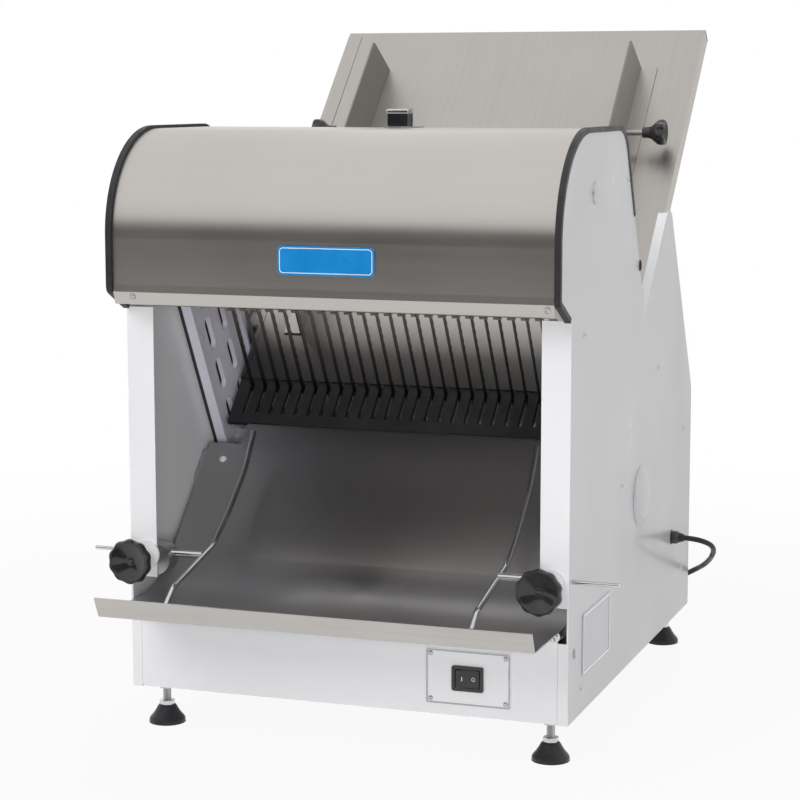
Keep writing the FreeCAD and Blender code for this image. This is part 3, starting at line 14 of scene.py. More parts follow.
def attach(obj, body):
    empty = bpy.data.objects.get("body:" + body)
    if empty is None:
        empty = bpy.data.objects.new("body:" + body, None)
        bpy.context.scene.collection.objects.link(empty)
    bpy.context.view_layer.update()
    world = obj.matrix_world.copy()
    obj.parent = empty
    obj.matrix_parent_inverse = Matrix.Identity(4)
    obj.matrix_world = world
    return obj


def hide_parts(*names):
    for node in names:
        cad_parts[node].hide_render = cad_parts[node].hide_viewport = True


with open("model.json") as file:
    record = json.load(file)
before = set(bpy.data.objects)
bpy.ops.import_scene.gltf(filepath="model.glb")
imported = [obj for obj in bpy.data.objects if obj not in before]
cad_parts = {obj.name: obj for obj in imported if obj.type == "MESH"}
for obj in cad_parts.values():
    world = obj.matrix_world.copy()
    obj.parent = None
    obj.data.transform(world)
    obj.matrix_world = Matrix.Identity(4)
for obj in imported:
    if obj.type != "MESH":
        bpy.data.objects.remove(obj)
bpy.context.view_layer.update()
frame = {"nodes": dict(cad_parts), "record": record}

FRONT_PLANE = 0.3119853     # from the machine's front plane back to the row frame's origin


def at(x, y, z):
    """A place in the machine's drawing, in millimetres, as a point of the row frame."""
    return Vector((x / 1000, y / 1000 - FRONT_PLANE, z / 1000))


# Places in the drawing, in millimetres
PANEL_X = 265                       # outer face of each side panel
GLAND_Y, GLAND_Z = 525, 163
PLUG_Y, PLUG_Z = 655, 11            # the plug's axis, which runs along X
PLUG_FACE_X, SLEEVE_X = 28, 72      # where the plug's grip and its ribbed sleeve start
PIN_Y = 9.5                         # each pin's distance from the plug's axis
CLAMP_PLACE = (244, -16, 210)       # neck of the right clamp knob
BED_KNOB_PLACE = (214, 545, 692)    # neck of the right bed knob
FOOT_X = 237
FOOT_ROWS = (("front", 33), ("rear", 605))
SWITCH_X, SWITCH_Z = 150, 95        # middle of the switch plate
SWITCH_PLATE_Y = -1.5               # its face


# ---------------------------------------------------------------- camera

CAMERA_PLACE = (0.876, -2.621985, 0.748)
CAMERA_TILT, CAMERA_ROLL, CAMERA_HEADING = math.radians(82.04), 0.0006, math.radians(19.25)
FOCAL_LENGTH, SENSOR_WIDTH = 100.0, 36.0        # millimetres


def add_object(name, data):
    made = bpy.data.objects.new(name, data)
    bpy.context.scene.collection.objects.link(made)
    return made


camera = add_object("camera", bpy.data.cameras.new("camera"))
camera.location = CAMERA_PLACE
camera.rotation_euler = Euler((CAMERA_TILT, CAMERA_ROLL, CAMERA_HEADING))
camera.data.lens = FOCAL_LENGTH
camera.data.sensor_width = SENSOR_WIDTH
bpy.context.scene.camera = camera


# ---------------------------------------------------------------- materials

COLOUR_A, COLOUR_B, COLOUR_RESULT = 6, 7, 2     # a Mix node's colour sockets share their names


def feed(tree, socket, value):
    """Links an output to an input, or sets the input to a constant."""
    if isinstance(value, bpy.types.NodeSocket):
        tree.links.new(value, socket)
    else:
        socket.default_value = value


def add_node(tree, kind, inputs, **settings):
    """A shader node; inputs holds outputs or constants by the input's name or number."""
    made = tree.nodes.new(f"ShaderNode{kind}")
    for name, value in settings.items():
        setattr(made, name, value)
    for key, value in inputs.items():
        feed(tree, made.inputs[key], value)
    return made


class Finish:
    """A material under construction: a Principled shader and the textures that feed it."""

    def __init__(self, name, **constants):
        self.material = bpy.data.materials.new(name)
        self.material.use_nodes = True
        self.tree = self.material.node_tree
        self.shader = self.tree.nodes["Principled BSDF"]
        self.where = add_node(self.tree, "TexCoord", {}).outputs["Object"]
        self.set(**constants)

    def set(self, **inputs):
        """Feeds the shader's inputs; Base_Color stands for the input Base Color."""
        for name, value in inputs.items():
            feed(self.tree, self.shader.inputs[name.replace("_", " ")], value)

    def space(self, scale, turn=(0, 0, 0)):
        """Object coordinates, turned and then stretched."""
        aligned = add_node(self.tree, "Mapping", {"Vector": self.where, "Rotation": turn})
        stretched = add_node(self.tree, "Mapping", {"Vector": aligned.outputs["Vector"], "Scale": scale})
        return stretched.outputs["Vector"]

    def noise(self, scale, detail=3.0, roughness=0.55, turn=(0, 0, 0)):
        """A noise texture; scale is one number, or one for each axis."""
        scale = scale if isinstance(scale, tuple) else (scale,) * 3
        inputs = {"Vector": self.space(scale, turn), "Scale": 1.0, "Detail": detail, "Roughness": roughness}
        return add_node(self.tree, "TexNoise", inputs).outputs["Fac"]

    def cells(self, scale):
        """Distance from the middles of a cell texture."""
        inputs = {"Vector": self.space((scale,) * 3), "Scale": 1.0}
        return add_node(self.tree, "TexVoronoi", inputs, feature="F1").outputs["Distance"]

    def spread(self, value, low=0.0, high=1.0, start=0.3, end=0.7):
        """Maps start..end onto low..high; a texture's values lie mostly in the default range."""
        inputs = {"Value": value, "From Min": start, "From Max": end, "To Min": low, "To Max": high}
        return add_node(self.tree, "MapRange", inputs).outputs["Result"]

    def along(self, axis, start, end, mirrored=False):
        """0 to 1 as an object coordinate, or its distance from the middle, goes from start to end."""
        value = add_node(self.tree, "SeparateXYZ", {"Vector": self.where}).outputs[axis]
        if mirrored:
            value = add_node(self.tree, "Math", {0: value}, operation="ABSOLUTE").outputs[0]
        return self.spread(value, start=start, end=end)

    def mix(self, factor, first, second):
        """From the first colour to the second; each is a constant or an output."""
        inputs = {0: factor}
        for key, colour in ((COLOUR_A, first), (COLOUR_B, second)):
            inputs[key] = (*colour, 1.0) if isinstance(colour, tuple) else colour
        return add_node(self.tree, "Mix", inputs, data_type="RGBA").outputs[COLOUR_RESULT]

    def add(self, first, second, weight=1.0):
        """The first value plus the second times its weight."""
        inputs = {0: second, 1: weight, 2: first}
        return add_node(self.tree, "Math", inputs, operation="MULTIPLY_ADD").outputs[0]

    def bump(self, height, distance):
        inputs = {"Height": height, "Distance": distance, "Strength": 1.0}
        self.set(Normal=add_node(self.tree, "Bump", inputs).outputs["Normal"])


def paint(name, dark, light, rough):
    """Baked powder coat: orange peel, faint clouding and handling marks."""
    made = Finish(name, Coat_Weight=0.25, Coat_Roughness=0.12, Specular_IOR_Level=0.5)
    cloud = made.spread(made.noise(3.1, detail=4.0))
    smear = made.noise((9.0, 9.0, 4.0), detail=5.0, roughness=0.6)
    peel = made.add(made.noise(520.0, detail=2.0), made.noise(60.0, detail=2.0), 0.6)
    made.set(Base_Color=made.mix(cloud, dark, light), Roughness=made.spread(smear, rough * 0.8, rough * 1.3))
    made.bump(peel, 0.00002)
    return made.material


def brushed(name, dark, light, rough, grain, turn=(0, 0, 0), zone=None):
    """Ground sheet steel: long fine grain lines and wiped smears.

    zone is (axis, start, end, dark, light): a tone beyond a fold that paints light and shade on the sheet.
    Along X it is on both sides.
    """
    made = Finish(name, Metallic=1.0, Anisotropic=0.5)
    fine = made.noise(grain, roughness=0.6, turn=turn)
    broad = made.noise(tuple(g * 0.35 for g in grain), detail=2.0, roughness=0.5, turn=turn)
    smear = made.noise((6.0, 5.0, 5.0), detail=5.0, roughness=0.65)
    lines = made.add(made.spread(broad, high=0.25), made.spread(fine, high=0.35))
    tone = made.add(lines, made.spread(smear), 0.4)
    surface = made.mix(tone, dark, light)
    if zone:
        axis, start, end, zone_dark, zone_light = zone
        beyond = made.along(axis, start, end, mirrored=axis == "X")
        surface = made.mix(beyond, surface, made.mix(tone, zone_dark, zone_light))
    gloss = made.add(made.spread(fine, rough * 0.95, rough * 1.05), made.spread(smear, -0.012, 0.015))
    made.set(Base_Color=surface, Roughness=gloss)
    made.bump(fine, 0.000001)
    return made.material


def moulded(name, colour, rough, bump, grain, coat=0.0):
    """Plastic or rubber with a moulded grain and faint dust."""
    made = Finish(name, Coat_Weight=coat, Coat_Roughness=0.08, Specular_IOR_Level=0.35)
    dust = made.spread(made.noise(24.0, detail=6.0, roughness=0.7), start=0.45, end=0.8)
    dusty = tuple(c * 0.8 + 0.02 for c in colour)
    gloss = made.spread(made.noise(40.0, detail=4.0), rough * 0.8, rough * 1.25)
    made.set(Base_Color=made.mix(dust, colour, dusty), Roughness=gloss)
    made.bump(made.noise(grain, roughness=0.6), bump)
    return made.material


def galvanised(name):
    """Zinc-coated sheet with its spangle."""
    made = Finish(name, Metallic=1.0)
    spangle = made.cells(95.0)
    tone = made.spread(spangle, start=0.1, end=0.9)
    made.set(Base_Color=made.mix(tone, (0.42, 0.43, 0.45), (0.6, 0.61, 0.63)),
             Roughness=made.spread(spangle, 0.34, 0.5, start=0.1, end=0.9))
    made.bump(made.noise(180.0), 0.00003)
    return made.material


def cast(name):
    """Painted iron casting with a pitted skin."""
    made = Finish(name, Coat_Weight=0.1, Coat_Roughness=0.3)
    cloud = made.spread(made.noise(30.0, detail=5.0))
    made.set(Base_Color=made.mix(cloud, (0.07, 0.08, 0.09), (0.12, 0.13, 0.15)),
             Roughness=made.spread(made.noise(70.0), 0.45, 0.62))
    made.bump(made.add(made.noise(240.0, detail=4.0), made.cells(500.0), 0.5), 0.0003)
    return made.material


def machined(name, dark, light, rough):
    """Turned or milled steel with tool marks across X."""
    made = Finish(name, Metallic=1.0, Anisotropic=0.3)
    rings = made.noise((700.0, 60.0, 60.0))
    wear = made.spread(made.noise(18.0), -0.03, 0.05)
    made.set(Base_Color=made.mix(made.spread(rings), dark, light),
             Roughness=made.add(made.spread(rings, rough * 0.8, rough * 1.2), wear))
    made.bump(rings, 0.00002)
    return made.material


def plated(name, colour, rough):
    """Bright plating: almost a mirror, with slight ripple and fingermarks."""
    made = Finish(name, Metallic=1.0)
    duller = tuple(c * 0.9 for c in colour)
    made.set(Base_Color=made.mix(made.spread(made.noise(35.0, detail=4.0)), duller, colour),
             Roughness=made.spread(made.noise(50.0, detail=5.0), rough * 0.6, rough * 1.7))
    made.bump(made.noise(90.0, detail=2.0), 0.00004)
    return made.material


def flat_print(name, dark, light, rough):
    """A lacquered plate: an even colour with a fine lacquer texture."""
    made = Finish(name, Coat_Weight=0.6, Coat_Roughness=0.06)
    made.set(Base_Color=made.mix(made.spread(made.noise(28.0, detail=4.0)), dark, light),
             Roughness=made.spread(made.noise(90.0), rough * 0.8, rough * 1.3))
    made.bump(made.noise(300.0, detail=2.0), 0.00002)
    return made.material


def channel(name, dark, light, edge, edge_from, edge_to):
    """Painted slide channel with a dark strip along its outer edge: painted shade of the gap between the
    channel and the side panel.
    """
    made = Finish(name, Coat_Weight=0.2, Coat_Roughness=0.2)
    cloud = made.spread(made.noise(14.0, detail=4.0))
    strip = made.along("X", edge_from, edge_to, mirrored=True)
    made.set(Base_Color=made.mix(strip, made.mix(cloud, dark, light), edge),
             Roughness=made.spread(made.noise(30.0, detail=4.0), 0.3, 0.45))
    made.bump(made.noise(400.0, detail=2.0), 0.00004)
    return made.material


# Grain of brushed steel: few lines to the metre along it and many across it
ALONG_X = (5.0, 1500.0, 1500.0)
ALONG_Y = (1500.0, 5.0, 1500.0)
ALONG_SLOPE = (1500.0, 6.0, 1500.0)
ALONG_BLADE = (1200.0, 8.0, 8.0)
BED_TURN = (math.radians(-45), 0, 0)    # lays the bed's slope along Y

# Where a sheet changes its tone, as painted light and shade: at the fold of the tray's lip, past which the
# lip is painted lighter as the light on it;
# towards the bed's foot between the blades, painted dark as shade; and at the upright web of a loaf guide,
# whose inner face is painted dark as shade
LIP_LIGHT_FOLD = ("Y", -0.4155, -0.4163)
BED_SHADE_END = ("Z", 0.465, 0.415)
WEB_SHADE_FACE = ("X", 0.1819, 0.1823)
# where the slide channel's dark strip begins: painted shade of the gap at the side panel
CHANNEL_GAP_SHADE = (0.2583, 0.2585)

finishes = {
    "white_paint": paint("white_paint", (0.74, 0.745, 0.765), (0.80, 0.803, 0.82), 0.33),
    "frame_paint": paint("frame_paint", (0.70, 0.685, 0.77), (0.78, 0.765, 0.85), 0.3),
    "hood_steel": brushed("hood_steel", (0.52, 0.495, 0.47), (0.59, 0.56, 0.53), 0.34, ALONG_X),
    # tray_steel: past the fold its lip is painted lighter, as the light falling on it
    "tray_steel": brushed("tray_steel", (0.42, 0.41, 0.408), (0.48, 0.47, 0.466), 0.34, ALONG_X,
                          zone=(*LIP_LIGHT_FOLD, (0.47, 0.455, 0.435), (0.60, 0.58, 0.555))),
    # bed_steel: painted shade, much darker towards the bed's foot between the blades
    "bed_steel": brushed("bed_steel", (0.43, 0.41, 0.385), (0.52, 0.495, 0.47), 0.36, ALONG_SLOPE, BED_TURN,
                         zone=(*BED_SHADE_END, (0.13, 0.125, 0.122), (0.18, 0.172, 0.168))),
    "zinc_steel": galvanised("zinc_steel"),
    "black_rubber": moulded("black_rubber", (0.02, 0.02, 0.022), 0.5, 0.00008, 260.0),
    "black_plastic": moulded("black_plastic", (0.012, 0.012, 0.013), 0.2, 0.00002, 400.0, coat=0.5),
    "comb_plastic": moulded("comb_plastic", (0.022, 0.022, 0.024), 0.42, 0.00006, 300.0),
    # blade_steel is nearly black: painted shade, for blades that stand in the hood's shadow
    "blade_steel": brushed("blade_steel", (0.09, 0.088, 0.088), (0.17, 0.167, 0.166), 0.3, ALONG_BLADE),
    "machined_steel": machined("machined_steel", (0.34, 0.34, 0.35), (0.5, 0.5, 0.51), 0.32),
    "chrome_wire": plated("chrome_wire", (0.66, 0.66, 0.68), 0.14),
    "cast_iron": cast("cast_iron"),
    "badge_blue": flat_print("badge_blue", (0.0, 0.19, 0.5), (0.004, 0.23, 0.58), 0.3),
    "plate_alloy": brushed("plate_alloy", (0.48, 0.48, 0.5), (0.58, 0.58, 0.6), 0.34, ALONG_Y),
    "foot_rubber": moulded("foot_rubber", (0.016, 0.016, 0.018), 0.34, 0.00006, 220.0),
    "cord_rubber": moulded("cord_rubber", (0.014, 0.014, 0.015), 0.4, 0.00005, 500.0),
    "screw_steel": plated("screw_steel", (0.6, 0.6, 0.61), 0.24),
}

# Looks that differ from the rest of a slot, by the end of the node's name
variants = {
    # loaf guide: its inner face, short of the web, is painted dark as shade, and past the web it has its lit
    # tone
    "loaf_guide": brushed("guide_steel_painted_shade", (0.24, 0.23, 0.222), (0.32, 0.308, 0.296), 0.34, ALONG_SLOPE,
                          BED_TURN, zone=(*WEB_SHADE_FACE, (0.42, 0.40, 0.375), (0.50, 0.475, 0.45))),
    "clamp_bosses": finishes["tray_steel"],
    # slide guide: the dark strip along its outer edge is painted shade of the gap at the side panel
    "slide_guide": channel("slide_channel_gap_shade", (0.68, 0.665, 0.75), (0.76, 0.745, 0.83), (0.02, 0.02, 0.022),
                           *CHANNEL_GAP_SHADE),
}


def dress_nodes():
    """Gives every node its slot's finish, or its variant."""
    for entry in frame["record"]["subparts"]:
        shown = frame["nodes"][entry["node"]]
        look = finishes[entry["material_slot"]]
        for ending, variant in variants.items():
            if entry["node"].endswith(ending):
                look = variant
        if not shown.material_slots:
            shown.data.materials.append(None)
        for place in shown.material_slots:
            place.material = look


dress_nodes()


# ---------------------------------------------------------------- mesh helpers

TO_X = Matrix.Rotation(math.radians(90), 3, "Y")
TO_MINUS_X = Matrix.Rotation(math.radians(-90), 3, "Y")
TO_MINUS_Y = Matrix.Rotation(math.radians(90), 3, "X")
UP = Vector((0, 0, 1))


def outwards(side):
    """Turns a Z axis out of the right (1) or left (-1) side panel."""
    return TO_X if side > 0 else TO_MINUS_X


def mesh_of(name, *parts):
    """One mesh out of (vertices, faces) lists."""
    points, faces = [], []
    for some_points, some_faces in parts:
        start = len(points)
        points += some_points
        faces += [tuple(start + index for index in face) for face in some_faces]
    mesh = bpy.data.meshes.new(name)
    mesh.from_pydata([tuple(point) for point in points], [], faces)
    mesh.validate()
    joined = bmesh.new()
    joined.from_mesh(mesh)
    bmesh.ops.remove_doubles(joined, verts=joined.verts, dist=1e-7)
    bmesh.ops.recalc_face_normals(joined, faces=joined.faces)
    joined.to_mesh(mesh)
    joined.free()
    return mesh


def dress(made, slot, body, *replaced):
    """Hangs a piece on its body and hides the nodes it replaces. The argument slot is not used."""
    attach(made, body)
    if replaced:
        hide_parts(*replaced)
    return made


def finished(name, mesh, body, slot, *replaced, sharp=38.0):
    """A finished piece: smooth shading with real edges kept sharp, its finish and its body."""
    mesh.shade_smooth()
    mesh.set_sharp_from_angle(angle=math.radians(sharp))
    mesh.materials.clear()
    mesh.materials.append(finishes[slot])
    return dress(add_object(name, mesh), slot, body, *replaced)


def piece(name, parts, body, slot, *replaced, sharp=38.0):
    """A finished piece made of (vertices, faces) lists."""
    return finished(name, mesh_of(name, *parts), body, slot, *replaced, sharp=sharp)


def ring_faces(rows, count, closed=False):
    """Quads between neighbouring rings of points; closed joins the last ring to the first."""
    faces = []
    for row in range(rows if closed else rows - 1):
        low, high = row * count, (row + 1) % rows * count
        for index in range(count):
            after = (index + 1) % count
            faces.append((low + index, low + after, high + after, high + index))
    return faces


def end_faces(rows, count):
    """The faces that close the first and the last ring."""
    return [tuple(range(count))[::-1], tuple((rows - 1) * count + index for index in range(count))]


def soften(points, steps=5):
    """A Catmull-Rom line through the points of a profile."""
    line = []
    ends = [points[0]] + list(points) + [points[-1]]
    for a, b, c, d in zip(ends, ends[1:], ends[2:], ends[3:]):
        for step in range(steps):
            t = step / steps
            line.append(tuple(0.5 * (2 * q + (r - p) * t + (2 * p - 5 * q + 4 * r - s) * t * t
                                     + (3 * q - p - 3 * r + s) * t ** 3) for p, q, r, s in zip(a, b, c, d)))
    line.append(tuple(points[-1]))
    return line


def turned(profile, place, turn=None, segments=48, shape=None):
    """A surface turned about its own Z from (radius, height) pairs, then turned and moved.

    shape(angle, radius, height) may bend the radius, as for the lobes of a knob.
    """
    turn = turn or Matrix.Identity(3)
    points = []
    for radius, height in profile:
        for index in range(segments):
            angle = 2 * math.pi * index / segments
            reach = shape(angle, radius, height) if shape else radius
            points.append(turn @ Vector((reach * math.cos(angle), reach * math.sin(angle), height)) + place)
    faces = ring_faces(len(profile), segments)
    for (radius, _), face in zip((profile[0], profile[-1]), end_faces(len(profile), segments)):
        if radius > 1e-6:
            faces.append(face)
    return points, faces


def rounded(angle, power):
    """A point of a unit circle that is drawn out towards a square, the more so the higher the power."""
    c, s = math.cos(angle), math.sin(angle)
    bow = (abs(c) ** power + abs(s) ** power) ** (-1 / power)
    return c * bow, s * bow


def slab(low, high, bevel, steps=3):
    """A box with rounded edges between two corners."""
    made = bmesh.new()
    bmesh.ops.create_cube(made, size=1.0)
    middle = (low + high) / 2
    for vert in made.verts:
        vert.co = Vector(c * s for c, s in zip(vert.co, high - low)) + middle
    bmesh.ops.bevel(made, geom=made.edges[:], offset=bevel, segments=steps, profile=0.6, affect="EDGES")
    made.verts.ensure_lookup_table()
    made.verts.index_update()
    points = [vert.co.copy() for vert in made.verts]
    faces = [tuple(vert.index for vert in face.verts) for face in made.faces]
    made.free()
    return points, faces


def extruded(outline, low, high):
    """A closed (y, z) outline in millimetres, drawn out along X."""
    points = [at(x, y, z) for x in (low, high) for y, z in outline]
    return points, ring_faces(2, len(outline)) + end_faces(2, len(outline))


def raised_line(centre, across, half_w, half_h, radius, width, lift, steps=6):
    """A thin raised line round an upright plate, as one closed strip; across runs along its width."""
    across = Vector(across)
    out = across.cross(UP)
    corners = ((1, 1), (-1, 1), (-1, -1), (1, -1))
    section = ((0.0, 0.0), (0.0, lift), (width, lift), (width, 0.0))
    points = []
    for inset, height in section:
        for corner, (sx, sy) in enumerate(corners):
            for step in range(steps + 1):
                angle = math.pi / 2 * (corner + step / steps)
                x = sx * (half_w - radius) + (radius - inset) * math.cos(angle)
                y = sy * (half_h - radius) + (radius - inset) * math.sin(angle)
                points.append(centre + across * x + UP * y + out * height)
    return points, ring_faces(len(section), len(corners) * (steps + 1), closed=True)


def ease(value, start, end):
    """0 before start and 1 past end, with a smooth change between."""
    t = min(1.0, max(0.0, (value - start) / (end - start)))
    return t * t * (3 - 2 * t)


def from_flat(angle):
    """The angle from the middle of the nearest of six flats."""
    return (angle + math.pi / 6) % (math.pi / 3) - math.pi / 6


# ---------------------------------------------------------------- mains lead

# From the gland down to the bench, then from the coil to the plug, in the row frame
LEAD_ROUTE = [
    (0.283, 0.2130147, 0.163), (0.2936, 0.2134147, 0.1623), (0.306, 0.2185147, 0.159),
    (0.3151, 0.2299147, 0.1522), (0.3157, 0.2449147, 0.1421), (0.309, 0.2645147, 0.130),
    (0.301, 0.2870147, 0.1195), (0.289, 0.3130147, 0.107), (0.273, 0.3365147, 0.0949),
    (0.2487, 0.3490147, 0.080), (0.226, 0.3570147, 0.053), (0.207, 0.3560147, 0.030),
    (0.191, 0.3494147, 0.012), (0.172, 0.3380147, 0.0048), (0.150, 0.3330147, 0.0042),
]
LEAD_TAIL = [
    (0.1290, 0.3392, 0.0235), (0.1200, 0.3394, 0.0262), (0.1100, 0.3397, 0.0262),
    (0.1000, 0.3405, 0.0218), (0.0900, 0.3418, 0.0158), (0.0790, 0.3430, 0.0116),
    (0.0700, 0.3430, 0.0110),
]
LEAD_RADIUS = 0.0035
COIL_CENTRE = (0.140, 0.377515)
COIL_OUTER, COIL_INNER = 0.0460, 0.0386
COIL_LAYERS = (0.0036, 0.0108, 0.0180)
COIL_START = math.atan2(0.333015 - COIL_CENTRE[1], 0.150 - COIL_CENTRE[0])
COIL_TURNS, POINTS_A_TURN = 5.04, 18
CROSSING = 0.14             # the part of a turn in which the lead goes over to the next winding
COIL_RISE = 0.003           # how far the last winding lifts to leave the coil


def coil_point(turn):
    """Where the wound lead is after so many turns: in, up, out, up, in again and off the top."""
    def crossed(start):
        return ease(turn, start, start + CROSSING)

    radius = COIL_OUTER + (COIL_INNER - COIL_OUTER) * (crossed(0.86) - crossed(2.68) + crossed(4.50))
    low, middle, top = COIL_LAYERS
    height = (low + (middle - low) * crossed(1.77) + (top - middle) * crossed(3.59)
              + COIL_RISE * ease(turn, 4.86, COIL_TURNS))
    angle = COIL_START - 2 * math.pi * turn
    return (COIL_CENTRE[0] + radius * math.cos(angle), COIL_CENTRE[1] + radius * math.sin(angle), height)


def mains_lead():
    """The whole lead as one round line, from the gland to the plug."""
    points_wound = int(COIL_TURNS * POINTS_A_TURN)
    wound = [coil_point((index + 1) / POINTS_A_TURN) for index in range(points_wound)]
    places = LEAD_ROUTE + wound + LEAD_TAIL
    curve = bpy.data.curves.new("mains_lead", "CURVE")
    curve.dimensions = "3D"
    spline = curve.splines.new("NURBS")
    spline.points.add(len(places) - 1)
    for point, place in zip(spline.points, places):
        point.co = (*place, 1.0)
    spline.order_u = 3
    spline.use_endpoint_u = True
    spline.resolution_u = 6
    curve.bevel_depth = LEAD_RADIUS
    curve.bevel_resolution = 5
    curve.use_fill_caps = True
    curve.materials.append(finishes["cord_rubber"])
    return dress(add_object("mains_lead", curve), "cord_rubber", "body", "mains_cord", "cord_coil")


def plug_grip(count=40):
    """The plug's waisted grip with its flange, lying on its side.

    Each station is a distance from the face, half a width and half a height, in millimetres.
    """
    stations =((0, 17.0, 10.6), (3, 17.4, 10.9), (7, 16.4, 10.4), (16, 12.6, 9.4),
                (26, 11.6, 8.8), (36, 10.6, 8.0), (43, 8.4, 6.6), (46, 6.0, 5.4))
    points = []
    for x, half_y, half_z in stations:
        for index in range(count):
            y, z = rounded(2 * math.pi * index / count, 3.2)
            points.append(at(PLUG_FACE_X + x, PLUG_Y, PLUG_Z) + Vector((0, half_y * y, half_z * z)) / 1000)
    return points, ring_faces(len(stations), count) + end_faces(len(stations), count)


def plug_sleeve():
    """The ribbed sleeve where the lead enters the plug, tapering towards the lead."""
    profile = []
    for rib in range(9):
        base, start = 0.0062 - 0.00018 * rib, 0.0022 * rib
        profile += [(base, start), (base, start + 0.0013),
                    (base - 0.0009, start + 0.0014), (base - 0.0010, start + 0.0021)]
    return turned(profile, at(SLEEVE_X, PLUG_Y, PLUG_Z), TO_X, 24)


def plug_pin(side):
    """One round pin with its tapered tip."""
    profile = [(0.0, -0.019), (0.0014, -0.0188), (0.0022, -0.0178), (0.0024, -0.016), (0.0024, 0.001)]
    return turned(profile, at(PLUG_FACE_X, PLUG_Y + side * PIN_Y, PLUG_Z), TO_X, 20)


def coil_strap(count=40):
    """A flat strap wrapped once round the wound turns."""
    half_radial, half_height = 0.0079, 0.0109
    middle_height, lowest = 0.0111, 0.0001
    section = ((0.0, -0.004), (0.0009, -0.0034), (0.0009, 0.0034), (0.0, 0.004))
    where = math.radians(62)
    outward = Vector((math.cos(where), math.sin(where), 0))
    side = Vector((-outward.y, outward.x, 0))
    middle = Vector((*COIL_CENTRE, 0)) + outward * (COIL_OUTER + COIL_INNER) / 2
    rim = []
    for index in range(count):
        x, z = rounded(2 * math.pi * index / count, 6)
        rim.append((half_radial * x, half_height * z))
    points = []
    for reach, across in section:
        for x, z in rim:
            stretch = 1 + reach / math.hypot(x, z)
            height = max(lowest, middle_height + z * stretch)
            points.append(middle + outward * x * stretch + side * across + UP * height)
    return points, ring_faces(len(section), count, closed=True)


def gland_surface():
    """The cable gland: flange, hexagon nut and a ribbed sleeve."""
    nut_from, nut_to = 0.0013, 0.0086
    flat_share = 0.93           # of the nut's radius, from the axis to each flat

    def six_flats(angle, radius, height):
        if not nut_from < height < nut_to:
            return radius
        return radius * min(1.0, flat_share / math.cos(from_flat(angle)))

    profile = [(0.0, 0.0), (0.0098, 0.0), (0.0098, 0.0012), (0.0088, 0.0016), (0.0088, 0.0078),
               (0.0078, 0.0090), (0.0074, 0.0096)]
    for rib in range(3):
        base, start = 0.0068 - 0.0007 * rib, 0.0024 * rib
        profile += [(base, 0.0100 + start), (base, 0.0113 + start),
                    (base - 0.0007, 0.0115 + start), (base - 0.0008, 0.0122 + start)]
    profile += [(0.0044, 0.0176), (0.0037, 0.0180)]
    return turned(profile, at(PANEL_X, GLAND_Y, GLAND_Z), TO_X, 48, six_flats)


lead = mains_lead()
plug = piece("plug_body", [plug_grip(), plug_sleeve()], "body", "black_plastic", "cord_plug")
pins = piece("plug_pins", [plug_pin(side) for side in (-1, 1)], "body", "chrome_wire")
tie = piece("coil_tie", [coil_strap()], "body", "black_plastic")
piece("gland_body", [gland_surface()], "body", "black_plastic", "cord_gland")


# ---------------------------------------------------------------- knobs

CLAMP_KNOB = {"radius": 0.0265, "depth": 0.036, "lobes": 10, "cut": 0.055, "segments": 200}
BED_KNOB = {"radius": 0.017, "depth": 0.030, "lobes": 7, "cut": 0.12, "segments": 168}


def knob_profile(radius, depth):
    """From the neck at the back to the middle of the dished face, in shares of radius and depth."""
    outline = [(0.0, 0.0), (0.36, 0.0), (0.42, 0.04), (0.43, 0.22), (0.50, 0.38), (0.74, 0.55), (0.93, 0.68),
               (1.0, 0.80), (0.995, 0.90), (0.94, 0.98), (0.88, 1.0), (0.82, 0.985), (0.76, 0.955),
               (0.52, 0.87), (0.28, 0.80), (0.17, 0.785), (0.15, 0.82), (0.08, 0.835), (0.0, 0.835)]
    return [(max(0.0, r) * radius, h * depth) for r, h in soften(outline)]


def knob(name, body, node, place, turn, radius, depth, lobes, cut, segments):
    """A lobed grip; the lobes fade towards the neck and leave the dished face round."""
    def lobed(angle, reach, height):
        wave = 0.5 + 0.5 * math.cos(lobes * angle)
        fade = ease(height / depth, 0.42, 0.72) * ease(reach / radius, 0.80, 0.97)
        return reach * (1 - cut * wave * fade)

    surface = turned(knob_profile(radius, depth), place, turn, segments, lobed)
    piece(name, [surface], body, "black_plastic", node, sharp=60)


def clamp_stud(place):
    """The screw behind a clamp knob, and the collar it runs in."""
    stud = [(0.0, -0.0262), (0.0036, -0.0262), (0.004, -0.0258), (0.004, 0.0)]
    collar = [(0.0040, -0.006), (0.0068, -0.006), (0.0070, -0.0056), (0.0070, 0.0005)]
    return [turned(profile, place, TO_MINUS_Y, 32) for profile in (stud, collar)]


def mirrored_place(place, side):
    """A place given for the right-hand side, taken to the side 1 (right) or -1 (left)."""
    x, y, z = place
    return at(x * side, y, z)


for hand, side in (("right", 1), ("left", -1)):
    neck = mirrored_place(CLAMP_PLACE, side)
    knob(f"{hand}_clamp_grip", f"{hand}_clamp", f"{hand}_clamp_knob", neck, TO_MINUS_Y, **CLAMP_KNOB)
    piece(f"{hand}_clamp_stud", clamp_stud(neck), f"{hand}_clamp", "chrome_wire")
    knob(f"{hand}_guide_grip", f"{hand}_bed_knob", f"{hand}_guide_knob", mirrored_place(BED_KNOB_PLACE, side),
         outwards(side), **BED_KNOB)


# ---------------------------------------------------------------- feet

SCREW_RADIUS = 0.005
SCREW_BOTTOM, SCREW_TOP = 0.0215, 0.0780
RINGS_FROM = 0.0252         # height of the first of the closely set rings that carry the thread
THREAD_FROM = 0.0262        # the thread itself begins inside the hexagon head
THREAD_PITCH, THREAD_DEPTH = 0.0015, 0.0005
STEPS_A_PITCH, THREAD_STEPS = 4, 140
HEAD_FLAT = 0.0081          # from the axis to each flat of the hexagon head


